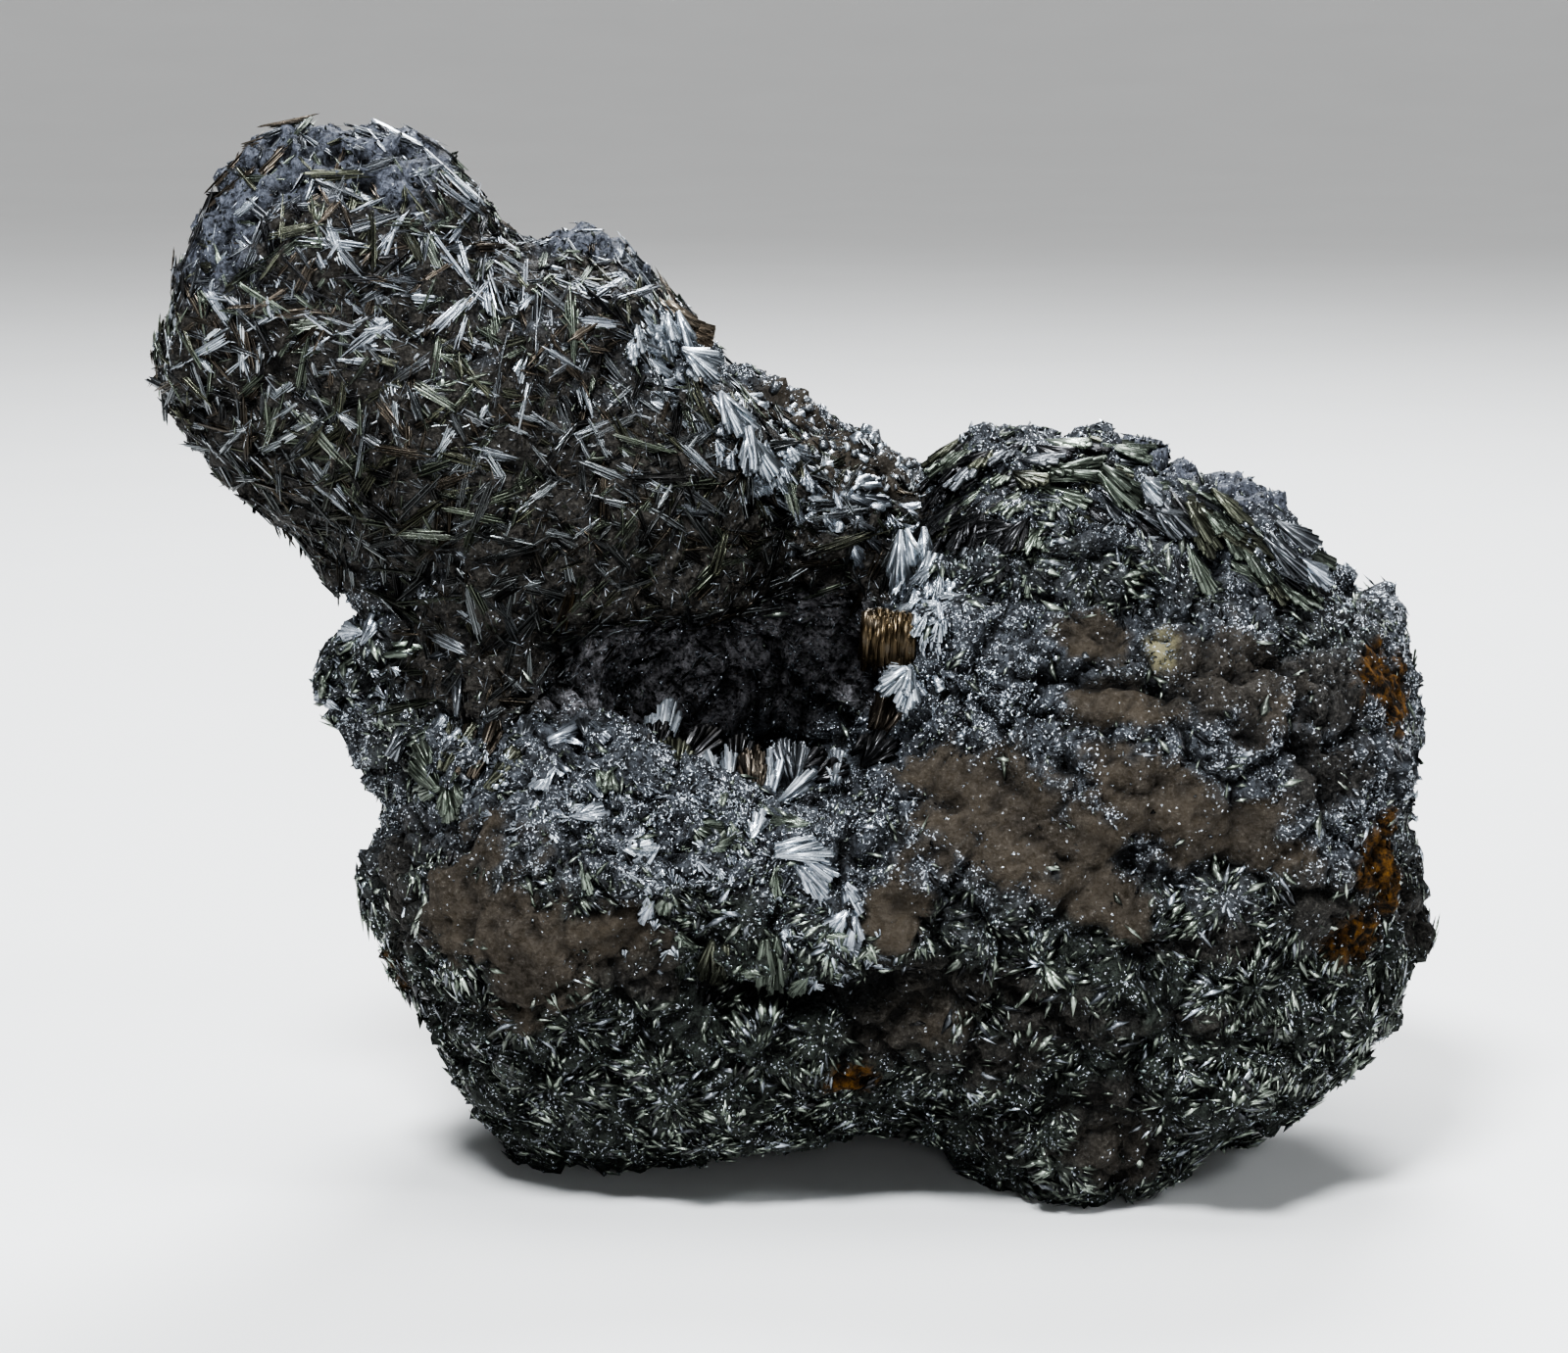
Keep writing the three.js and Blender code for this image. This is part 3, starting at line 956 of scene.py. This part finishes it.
def sheaves(ground):
    """Blade-like sheaves of parallel needles that lie every way over the finger."""
    z = ground.zones
    crystals = Crystals(3, (0.65, 0.93))
    high = smooth_step(ground.points[:, 2], 50, 66)
    behind = smooth_step(ground.points[:, 1], 6, 16)
    share = z.finger * (1 - 0.75 * z.soot) * (0.45 + 0.55 * high) * (1 - 0.4 * behind)
    palette = [(0.05, WHITE), (0.16, SILVER), (0.28, STEEL), (0.13, SHADE)]
    palette += [(0.16, MOSS), (0.10, OLIVE), (0.12, BRONZE)]
    for each, gap, strands, longer in ((2.8, 1.0, 6, 0.31), (1.95, 0.7, 4, 0.20)):
        root, normal, _ = ground.scatter(share, each, gap)
        flow = np.stack([perlin(root, 8.0, seed) for seed in (61.0, 62.0, 63.0)], 1)
        along = leaning(normal, -5, 6, flow, 1.1)
        half = rng.gamma(9, longer, len(root)).clip(0.8, 4.3)
        wide = rng.uniform(0.08, 0.125, len(root)) * (0.8 + 0.1 * half)
        lit = painted_height_light(root)
        root = root - normal * (half**2 / 150)[:, None]  # long ones lie deeper on the round finger
        bundle(crystals, root, normal, along, strands, half, wide, tones(len(root), palette) * lit)
    for right, up, turn, half, tone in LARGE_SHEAVES:
        root, normal = on_front(ground, right, up)
        along = pointing(normal, turn)
        tone = np.array([tone]) * (0.35 + 0.65 * painted_height_light(root))
        bundle(crystals, root, normal, along, 9, np.array([half]), np.array([0.085]), tone, 0.1)
    return crystals


def matted(ground):
    """Fine dark needles between the sheaves and in the hollow."""
    z = ground.zones
    crystals = Crystals(3)
    root, normal, _ = ground.scatter(z.finger * (1 - 0.8 * z.soot) + 0.6 * z.hollow, 0.60)
    count = len(root)
    wide = rng.uniform(0.045, 0.085, count)
    size = np.stack([rng.gamma(5, 0.15, count), wide, wide * 0.8], 1)
    palette = [(0.13, SILVER), (0.24, STEEL), (0.37, SHADE), (0.10, MOSS), (0.16, BRONZE)]
    crystals.add(root + normal * 0.05, leaning(normal, -8, 18), normal, size, tones(count, palette))
    return crystals


def grains(ground):
    """The druse: small sparkling flakes in drifts on the upper block and, thinly, everywhere else."""
    z = ground.zones
    crystals = Crystals(3)
    drift = perlin(ground.points, 4.5, 41.0) + 0.5 * perlin(ground.points, 1.6, 43.0)
    drift = smooth_step(drift, -0.15, 0.4)
    bright = within(ground.points, BRIGHT, 0.7, 0.3 * perlin(ground.points, 3.0, 45.0))
    share = z.silver * (0.2 + 0.9 * drift + 1.5 * bright) + 0.20 * z.green * drift
    share += 0.02 * z.brown + 0.35 * z.soot + 0.5 * z.hollow
    root, normal, at = ground.scatter(share * (1 - 0.8 * np.clip(z.cleft, 0, 1)), 0.41)
    count = len(root)
    long = (0.10 + 0.10 * rng.gamma(1.4, 1.0, count)).clip(0.10, 0.75)
    size = np.stack([long, long * rng.uniform(0.35, 0.9, count), long * rng.uniform(0.2, 0.5, count)], 1)
    along = unit(rng.normal(size=(count, 3)) + normal * 0.4)
    up = unit(rng.normal(size=(count, 3)))
    tone = tones(count, [(0.24, WHITE), (0.30, SILVER), (0.24, STEEL), (0.15, SHADE), (0.07, MOSS)])
    tone = tone * (1 - z.green[at, None] * np.array([0.12, 0.0, 0.14]))
    # Grains are dimmer where the dark spots take the zones out, which is partly painted shade.
    lit = 0.3 + 0.55 * (z.silver + 0.5 * z.green + z.hollow)[at] + 0.5 * bright[at]
    tone *= lit[:, None].clip(0, 1.1)
    crystals.add(root + normal * 0.08, along, up, size, tone)
    return crystals


def ridge_grains(crystals, ground):
    """Bright chunky grains between the brown lumps where the ridge broke off."""
    root, normal, _ = ground.scatter(ground.zones.crumb, 1.9, 0.8)
    count = len(root)
    size = rng.uniform(0.3, 0.8, (count, 1)) * rng.uniform(0.3, 1.2, (count, 3))
    palette = [(0.25, WHITE), (0.30, SILVER), (0.45, STEEL)]
    crystals.add(root, unit(rng.normal(size=(count, 3))), normal, size, tones(count, palette))


def tufts(ground):
    """Small leaf-like blades, green-grey, that spread from many middles on the lower block."""
    z = ground.zones
    crystals = Crystals(3)
    drift = perlin(ground.points, 7.0, 51.0) + 0.4 * perlin(ground.points, 2.0, 53.0)
    share = z.green * (0.25 + 1.3 * smooth_step(drift, -0.2, 0.25)) + 0.09 * z.silver
    root, normal, _ = ground.scatter(share * (1 - 0.8 * np.clip(z.cleft, 0, 1)), 0.45)
    count = len(root)
    along = leaning(normal, -6, 14, away(root, 5.5, 55.0), 0.22)
    half = rng.gamma(7, 0.12, count).clip(0.35, 1.4)
    wide = half * rng.uniform(0.20, 0.40, count)
    palette = [(0.06, SILVER), (0.34, SAGE), (0.12, STEEL), (0.16, SHADE), (0.32, MOSS)]
    patch = smooth_step(perlin(root, 2.2, 57.0) + 0.5 * perlin(root, 8.0, 58.0), -0.35, 0.35)
    up = unit(normal + rng.normal(0, 0.35, (count, 3)))
    size = np.stack([half, wide, wide * 0.3], 1)
    tone = tones(count, palette) * (0.38 + patch[:, None])
    crystals.add(root + along * half[:, None] * 0.5, along, up, size, tone)
    return crystals


# A row of these beds has its spots, the square millimetres to a fan, half of a fan's length, its
# strands, its spread, where it points and how loosely, and its tones.
FIBRE_BEDS = [
    (RIDGE_BAND, 1.5, (0.7, 1.8), 9, 0.24, DOWN_RIGHT, 0.7, [(0.25, WHITE), (0.5, SILVER), (0.25, STEEL)]),
    (RIGHT_WALL, 1.0, (0.9, 2.0), 9, 0.26, DOWN_LEFT, 0.8, [(0.5, WHITE), (0.4, SILVER), (0.1, STEEL)]),
    (DOME_FRONT, 12.0, (1.2, 2.6), 9, 0.18, DOWN_RIGHT, 0.45, [(0.1, SILVER), (0.4, STEEL), (0.5, MOSS)]),
    (DOME_BACK, 6.0, (1.2, 2.8), 9, 0.20, None, 1.0, [(0.2, SILVER), (0.45, STEEL), (0.35, MOSS)]),
    (LIP, 1.1, (0.35, 1.0), 4, 0.40, None, 1.0, [(0.3, WHITE), (0.35, SILVER), (0.2, STEEL), (0.15, MOSS)]),
    (BACK_BEDS, 6.0, (0.8, 2.0), 8, 0.24, None, 1.0, [(0.3, SILVER), (0.35, STEEL), (0.35, MOSS)]),
]
DIM_SLATE = [(0.12, STEEL), (0.42, SHADE), (0.34, MOSS), (0.12, OLIVE)]
SLATE = [(0.05, SAGE), (0.22, STEEL), (0.33, SHADE), (0.28, MOSS), (0.12, OLIVE)]
PLATE_BEDS = [
    (RIDGE_BAND, 1.5, (0.6, 1.5), 6, 0.34, DOWN_RIGHT, 0.8, [(0.6, WHITE), (0.4, SILVER)]),
    (RIGHT_WALL, 1.5, (0.8, 1.8), 6, 0.30, DOWN_LEFT, 0.8, [(0.7, WHITE), (0.3, SILVER)]),
    (DOME_LEFT, 2.8, (2.0, 3.2), 11, 0.32, DOWN_LEFT, 0.6, DIM_SLATE),
    (DOME_FRONT, 3.4, (2.0, 3.1), 11, 0.30, DOWN_RIGHT, 0.45, SLATE),
    (DOME_BACK, 10.0, (1.6, 2.6), 9, 0.32, None, 1.0, [(0.2, SAGE), (0.45, STEEL), (0.35, MOSS)]),
    (LIP, 16.0, (1.1, 1.9), 8, 0.34, None, 1.0, [(0.15, WHITE), (0.25, SILVER), (0.35, FERN), (0.25, MOSS)]),
    (BACK_BEDS, 20.0, (1.1, 1.9), 8, 0.34, None, 1.0, [(0.25, SILVER), (0.35, FERN), (0.4, MOSS)]),
]


def beds(ground, crystals, rows, half_width, streak, tilts):
    """Fans of strands or plates over the spots of each row, tilted by tilts degrees."""
    for spots, each, half_range, strands, spread, towards, loose, palette in rows:
        share = within(ground.points, spots, 0.25) * (1 - ground.zones.soot)
        share = share * (1 - np.clip(ground.zones.cleft, 0, 1))
        root, normal, _ = ground.scatter(share, each, 0.8)
        along = leaning(normal, *tilts, towards, loose)
        half = rng.uniform(*half_range, len(root))
        tone = tones(len(root), palette)
        root = root - normal * 0.1
        fan(crystals, root, normal, along, strands, half, half_width, tone, spread, streak=streak)


def fans(ground):
    """Long fibres in striated fans: on the ridge, beside the hollow, over the dome and on the rim."""
    crystals = Crystals(3, (0.86, 0.985))
    beds(ground, crystals, FIBRE_BEDS, 0.11, 0.45, (-8, 10))
    large_fans(crystals, ground)
    return crystals


def plates(ground):
    """Cleaved slabs: wedges on the ridge, the wall and the dome, and the crystals that stand out."""
    crystals = Crystals(4, (0.88, 0.985))
    beds(ground, crystals, PLATE_BEDS, 0.32, 0.3, (-7, 4))
    ridge_grains(crystals, ground)
    blocks(crystals)
    return crystals


LARGE = [  # the fan's root, which way it points and faces, length, spread in radians, tone
    ((0.388, 0.15, 0.428), (0.05, 0.1, 1.0), (0.0, -1, 0.5), 5.8, 0.24, WHITE),
    ((0.372, 0.15, 0.425), (-0.5, 0.0, 0.9), (-0.2, -1, 0.3), 3.2, 0.35, SILVER),
    ((0.405, 0.12, 0.410), (-0.1, -0.1, 1.0), (0.1, -1, 0.35), 4.4, 0.62, OLIVE),
    ((0.432, 0.13, 0.408), (0.55, 0.0, 0.8), (0.3, -1, 0.2), 3.6, 0.40, STEEL),
    ((0.445, 0.12, 0.410), (-0.2, 0.0, 1.0), (0.0, -1, 0.6), 3.9, 0.20, WHITE),
    ((0.465, 0.12, 0.405), (-0.25, 0.0, 1.0), (-0.5, -1, 0.2), 4.2, 0.34, BRONZE),
    ((0.480, 0.12, 0.402), (0.4, 0.0, 1.0), (0.1, -1, 0.55), 4.6, 0.24, WHITE),
    ((0.530, 0.14, 0.414), (0.0, -0.1, 1.0), (0.0, -1, 0.6), 3.0, 0.60, WHITE),
    ((0.490, 0.02, 0.362), (1.0, -0.1, 0.1), (0.0, -0.8, 0.6), 4.4, 0.24, WHITE),
    ((0.505, 0.02, 0.352), (0.8, -0.1, -0.5), (0.0, -0.9, 0.4), 3.6, 0.40, SILVER),
    ((0.583, 0.18, 0.512), (-0.9, -0.1, -0.4), (-0.1, -1, 0.5), 3.6, 0.40, WHITE),
    ((0.590, 0.16, 0.505), (0.1, -0.1, -1.0), (0.1, -1, 0.5), 3.4, 0.35, WHITE),
    ((0.405, 0.42, 0.812), (0.3, -0.3, -0.9), (0.3, -1, 0.4), 3.8, 0.26, WHITE),
    ((0.415, 0.38, 0.780), (0.9, -0.2, -0.5), (0.3, -1, 0.5), 4.0, 0.30, WHITE),
    ((0.440, 0.34, 0.740), (0.6, -0.2, -0.8), (0.3, -1, 0.5), 4.4, 0.34, WHITE),
    ((0.462, 0.33, 0.710), (0.3, -0.2, -0.9), (0.3, -1, 0.4), 4.6, 0.34, WHITE),
    ((0.700, 0.27, 0.680), (0.9, 0.0, 0.0), (0.0, -0.8, 0.7), 4.6, 0.30, MOSS),
    ((0.735, 0.25, 0.680), (0.6, -0.2, -0.5), (0.3, -0.9, 0.6), 4.6, 0.34, FERN),
    ((0.765, 0.24, 0.672), (0.8, -0.2, -0.5), (0.3, -0.9, 0.6), 2.4, 0.40, WHITE),
    ((0.780, 0.24, 0.655), (0.8, -0.2, -0.5), (0.3, -0.9, 0.6), 4.0, 0.35, STEEL),
    ((0.805, 0.25, 0.650), (0.3, -0.3, -0.9), (0.3, -0.9, 0.5), 4.4, 0.35, OLIVE),
    ((0.865, 0.29, 0.615), (0.8, -0.2, -0.5), (0.3, -0.9, 0.6), 4.6, 0.38, STEEL),
    ((0.890, 0.30, 0.600), (0.9, -0.2, -0.2), (0.3, -0.9, 0.6), 3.4, 0.34, SILVER),
    ((0.404, 0.15, 0.425), (0.3, 0.0, 1.0), (0.1, -1, 0.2), 4.6, 0.45, SHADE),
    ((0.450, 0.14, 0.412), (0.1, 0.0, 1.0), (0.1, -1, 0.2), 4.0, 0.50, SHADE),
    ((0.498, 0.14, 0.412), (0.2, 0.0, 1.0), (0.1, -1, 0.2), 3.8, 0.45, STEEL),
    ((0.512, 0.14, 0.415), (0.8, 0.0, 0.6), (0.0, -1, 0.3), 3.6, 0.40, SHADE),
    ((0.548, 0.17, 0.430), (0.7, 0.1, 0.7), (-0.2, -1, 0.3), 3.6, 0.35, SHADE),
    ((0.563, 0.19, 0.455), (0.5, 0.1, 0.9), (-0.3, -1, 0.3), 4.4, 0.35, BRONZE),
    ((0.420, 0.05, 0.385), (0.5, -0.2, -0.3), (0.0, -0.8, 0.6), 4.2, 0.40, FERN),
    ((0.395, 0.05, 0.385), (-0.6, -0.2, 0.2), (0.0, -0.8, 0.6), 4.4, 0.45, OLIVE),
    ((0.588, 0.29, 0.618), (0.1, -0.3, -1.0), (-0.3, -1, 0.2), 4.8, 0.30, WHITE),
    ((0.604, 0.25, 0.600), (-0.3, -0.3, -1.0), (-0.2, -1, 0.3), 4.4, 0.34, WHITE),
    ((0.590, 0.25, 0.575), (-0.1, -0.2, -1.0), (-0.4, -1, 0.2), 4.0, 0.34, WHITE),
    ((0.612, 0.22, 0.572), (0.2, -0.2, -1.0), (-0.1, -1, 0.3), 3.8, 0.34, SILVER),
    ((0.150, 0.36, 0.490), (0.9, -0.2, 0.0), (0.0, -1, 0.2), 3.6, 0.16, MOSS),
    ((0.195, 0.26, 0.420), (0.4, -0.3, 0.8), (0.0, -1, 0.3), 4.0, 0.30, STEEL),
    ((0.230, 0.20, 0.400), (-0.3, -0.3, 0.9), (0.0, -1, 0.3), 4.0, 0.35, MOSS),
]


BEDDED = [  # right, up, which way the fan points in degrees, length, spread in radians, tone
    (0.455, 0.272, -100, 4.8, 0.26, FERN),
    (0.475, 0.275, -85, 5.0, 0.26, MOSS),
    (0.495, 0.277, -70, 4.6, 0.26, FERN),
    (0.508, 0.287, -60, 3.8, 0.26, MOSS),
    (0.440, 0.270, -110, 4.4, 0.30, OLIVE),
    (0.415, 0.272, -60, 5.0, 0.35, FERN),
    (0.405, 0.264, -85, 4.4, 0.35, FERN),
    (0.390, 0.264, -100, 3.6, 0.35, FERN),
    (0.520, 0.335, -110, 2.8, 0.50, STEEL),
    (0.535, 0.322, -60, 2.6, 0.45, SILVER),
    (0.515, 0.310, -80, 2.8, 0.50, STEEL),
    (0.532, 0.298, -120, 2.8, 0.45, SILVER),
    (0.182, 0.510, 5, 3.6, 0.10, FERN),
    (0.215, 0.505, 12, 4.4, 0.10, STEEL),
    (0.240, 0.475, 80, 4.2, 0.22, MOSS),
    (0.260, 0.465, 85, 4.2, 0.18, STEEL),
    (0.228, 0.425, 95, 4.6, 0.24, OLIVE),
    (0.247, 0.415, 85, 5.0, 0.26, BRONZE),
    (0.265, 0.405, 60, 4.2, 0.30, OLIVE),
    (0.218, 0.400, 170, 3.8, 0.40, FERN),
    (0.235, 0.395, -60, 3.4, 0.40, MOSS),
    (0.213, 0.450, 40, 2.2, 0.40, SILVER),
    (0.225, 0.438, 10, 2.0, 0.40, SILVER),
    (0.292, 0.455, 100, 3.4, 0.30, STEEL),
    (0.318, 0.455, 60, 3.4, 0.35, SILVER),
    (0.338, 0.458, 80, 3.0, 0.30, STEEL),
    (0.365, 0.458, 90, 3.0, 0.30, SILVER),
    (0.375, 0.375, 10, 2.8, 0.45, WHITE),
    (0.470, 0.705, -20, 3.4, 0.35, SILVER),
    (0.482, 0.690, -75, 4.0, 0.40, WHITE),
    (0.500, 0.672, -60, 3.6, 0.35, FERN),
    (0.515, 0.660, -30, 3.6, 0.30, SILVER),
    (0.545, 0.650, -15, 4.0, 0.25, SILVER),
]


def large_fans(crystals, ground):
    """The crystals that stand out, three grown together at each place, with their feet buried."""
    for root, along, facing, *look in LARGE:
        facing = unit(np.array([facing], float))
        along = unit(np.array([along], float))
        along = unit(along - facing * (along * facing).sum())
        grown_together(crystals, place(*root), along, facing, *look)
    for right, up, turn, *look in BEDDED:
        root, facing = on_front(ground, right, up)
        grown_together(crystals, root, pointing(facing, turn), facing, *look)


LARGE_STRANDS = 15
LARGE_WIDTH = 0.27  # half-width of a strand


def grown_together(crystals, root, along, facing, length, spread, tone):
    """A large fan with two smaller ones beside and behind it."""
    across = np.cross(facing, along)
    foot = root - 0.2 * length * along - 0.35 * facing
    for size in (1.0, 0.85, 0.65):
        beside = foot + rng.normal(0, 0.14 * length) * across - rng.uniform(0, 0.6) * facing
        turn = turned(along, facing, rng.normal(0, 0.2, 1))
        half = np.array([0.62 * length * size]) * rng.uniform(0.9, 1.05)
        shade = np.array([tone]) * rng.uniform(0.7, 1.1)
        fan(
            crystals, beside, facing, turn, LARGE_STRANDS, half, LARGE_WIDTH, shade, 0.8 * spread,
            ragged=0.07, narrow=0.8, streak=0.35, fold_and_shade=0.25,
        )


BLOCKS = [  # middle, which way its fibres run and it faces, length, width, thickness, tone
    ((0.571, 0.215, 0.532), (0.05, 0.0, 1.0), (-0.3, -1, 0.1), 4.6, 4.6, 3.0, GOLD),
    ((0.413, 0.52, 0.786), (0.9, 0.0, -0.25), (0.2, -1, 0.2), 4.0, 3.4, 3.2, (0.30, 0.245, 0.19)),
    ((0.402, 0.50, 0.803), (0.8, 0.0, -0.45), (0.2, -1, 0.2), 4.2, 2.6, 2.6, (0.26, 0.22, 0.175)),
]


SLAB, GAP = 0.34, 0.52  # half-width of a slab, and from one to the next in half-widths
DEEPER = 1.5  # how many times as far apart the slabs behind each other are


def blocks(crystals):
    """Solid blocks of parallel slabs."""
    for centre, along, facing, length, width, thick, tone in BLOCKS:
        facing = unit(np.array(facing, float))
        along = np.array(along, float)
        along = unit(along - facing * (along @ facing))
        across = np.cross(facing, along)
        columns, rows = int(width / SLAB / GAP), int(thick / SLAB / GAP / DEEPER)
        column, row = (a.ravel() for a in np.meshgrid(np.arange(columns), np.arange(rows)))
        side = (column - (columns - 1) / 2) * SLAB * GAP
        deep = (row - (rows - 1) / 2) * SLAB * GAP * DEEPER
        count = len(column)
        root = place(*centre) + side[:, None] * across + deep[:, None] * facing
        root = root + rng.normal(0, 0.05, (count, 3)) + along * rng.normal(0, 0.08 * length, (count, 1))
        wide = SLAB * rng.uniform(0.9, 1.4, count)
        size = np.stack([length / 2 * rng.uniform(0.75, 1.0, count), wide, wide * 1.2], 1)
        direction = unit(along + rng.normal(0, 0.03, (count, 3)))
        up = unit(facing + rng.normal(0, 0.14, (count, 3)))
        crystals.add(root, direction, up, size, np.array([tone]) * rng.uniform(0.7, 1.1, (count, 1)))


# ---- camera, floor and light ----

LENS, SENSOR = 100.0, 36.0
DISTANCE = 410.0
ELEVATION = math.radians(10)
ASIDE, BELOW = 1.2, 3.45  # how far the view's centre lies left of and below the object's


def aim(thing, target):
    thing.rotation_mode = "QUATERNION"
    direction = Vector(target) - thing.location
    thing.rotation_quaternion = direction.to_track_quat("-Z", "Y")


def make_camera():
    data = bpy.data.cameras.new("camera")
    data.lens, data.sensor_width = LENS, SENSOR
    data.clip_start, data.clip_end = 0.01, 20
    camera = bpy.data.objects.new("camera", data)
    nearer = np.array([0, -math.cos(ELEVATION), math.sin(ELEVATION)])
    above = np.array([0, math.sin(ELEVATION), math.cos(ELEVATION)])
    target = middle - ASIDE * np.array([1, 0, 0]) - BELOW * above
    camera.location = (target + DISTANCE * nearer) * MM
    aim(camera, target * MM)
    bpy.context.scene.collection.objects.link(camera)
    bpy.context.scene.camera = camera


FLAT = 1.0  # metres of flat floor all round, before it curves up
REACH, WALL = 1.6, 0.5  # how far out and how high the curve goes, in metres
SEGMENTS, RINGS = 96, 33


def make_floor():
    """A pale floor that curves up into a wall all round."""
    profile = [(FLAT + REACH * t, WALL * t**3) for t in np.linspace(0, 1, RINGS)]
    around = np.linspace(0, 2 * math.pi, SEGMENTS, endpoint=False)
    points = [(r * math.cos(a), r * math.sin(a), z) for r, z in profile for a in around]
    faces = [tuple(range(SEGMENTS))]
    for ring in range(len(profile) - 1):
        for k in range(SEGMENTS):
            near, far = ring * SEGMENTS, (ring + 1) * SEGMENTS
            after = (k + 1) % SEGMENTS
            faces.append((near + k, near + after, far + after, far + k))
    mesh = bpy.data.meshes.new("floor")
    mesh.from_pydata(points, [], faces)
    for face in mesh.polygons[1:]:
        face.use_smooth = True
    n = Nodes("pale_floor")
    pale = n.mix(n.noise(60.0, 2.0), (0.70, 0.70, 0.695), (0.74, 0.74, 0.735))
    n.wire(pale, n.shader.inputs["Base Color"])
    n.shader.inputs["Roughness"].default_value = 0.8
    mesh.materials.append(n.material)
    floor = bpy.data.objects.new("floor", mesh)
    bpy.context.scene.collection.objects.link(floor)


COOL = (0.94, 0.97, 1.0)


def make_light(name, place_m, size, watts, colour=(1, 1, 1)):
    data = bpy.data.lights.new(name, "AREA")
    data.shape, data.size, data.energy, data.color = "DISK", size, watts, colour
    lamp = bpy.data.objects.new(name, data)
    lamp.location = place_m
    aim(lamp, middle * MM)
    bpy.context.scene.collection.objects.link(lamp)


def make_world(strength):
    world = bpy.data.worlds.new("studio")
    world.use_nodes = True
    background = world.node_tree.nodes["Background"]
    background.inputs["Color"].default_value = (0.95, 0.97, 1.0, 1.0)
    background.inputs["Strength"].default_value = strength
    bpy.context.scene.world = world


# ---- the whole ----

make_camera()
make_floor()
make_light("key", (-0.16, -0.44, 0.72), 0.20, 9.9, COOL)
make_light("side", (0.50, -0.34, 0.46), 0.16, 1.5, COOL)
make_light("front", (0.05, -0.95, 0.22), 0.30, 3.0, COOL)
make_light("rim", (0.10, 0.48, 0.60), 0.34, 5.8, COOL)
make_light("overhead", (0.0, 0.0, 6.0), 3.8, 160.0)
make_world(0.05)
bpy.context.scene.view_settings.look = "AgX - High Contrast"

body_mesh = remeshed(MASS)
points = numbers(body_mesh.vertices, "co", 3) / MM
normals = unit(numbers(body_mesh.vertex_normals, "vector", 3))
zones = Zones(points)
moved = points + normals * relief(points, zones)[:, None]
moved[:, 2] = np.maximum(moved[:, 2], low[2])
body_mesh.vertices.foreach_set("co", (moved * MM).astype(np.float32).ravel())
body_mesh.name = "mass_body"
for name in Zones.NAMES:
    float_attribute(body_mesh, name, getattr(zones, name))
# The clefts' depth, which the body's material paints near-black as painted shade.
float_attribute(body_mesh, "cleft", np.clip(zones.cleft * 0.8, 0, 1))
# How far each vertex lies in a dent, which the body's material paints darker as painted shade.
float_attribute(body_mesh, "dent_shade", hollowness(body_mesh, moved, normals))
body_mesh.update()
for face in body_mesh.polygons:
    face.use_smooth = True
body = show("mass_body", body_mesh, body_material())
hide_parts(MASS)
print("body", len(body_mesh.polygons), "faces")

ground = Ground(body_mesh, normals, zones)
for name, crystals, *look in (  # metallic, roughness, stripes
    ("needle_sheaves", sheaves(ground), 0.9, 0.27, 10),
    ("matted_needles", matted(ground), 0.8, 0.35, 6),
    ("druse_grains", grains(ground), 0.9, 0.25, 8),
    ("blade_tufts", tufts(ground), 0.85, 0.3, 9),
    ("fibre_fans", fans(ground), 0.9, 0.27, 10),
    ("cleaved_plates", plates(ground), 0.88, 0.26, 20),
):
    mesh = crystals.mesh(name)
    show(name, mesh, crystal_material(name + "_ore", crystals.grid, *look))
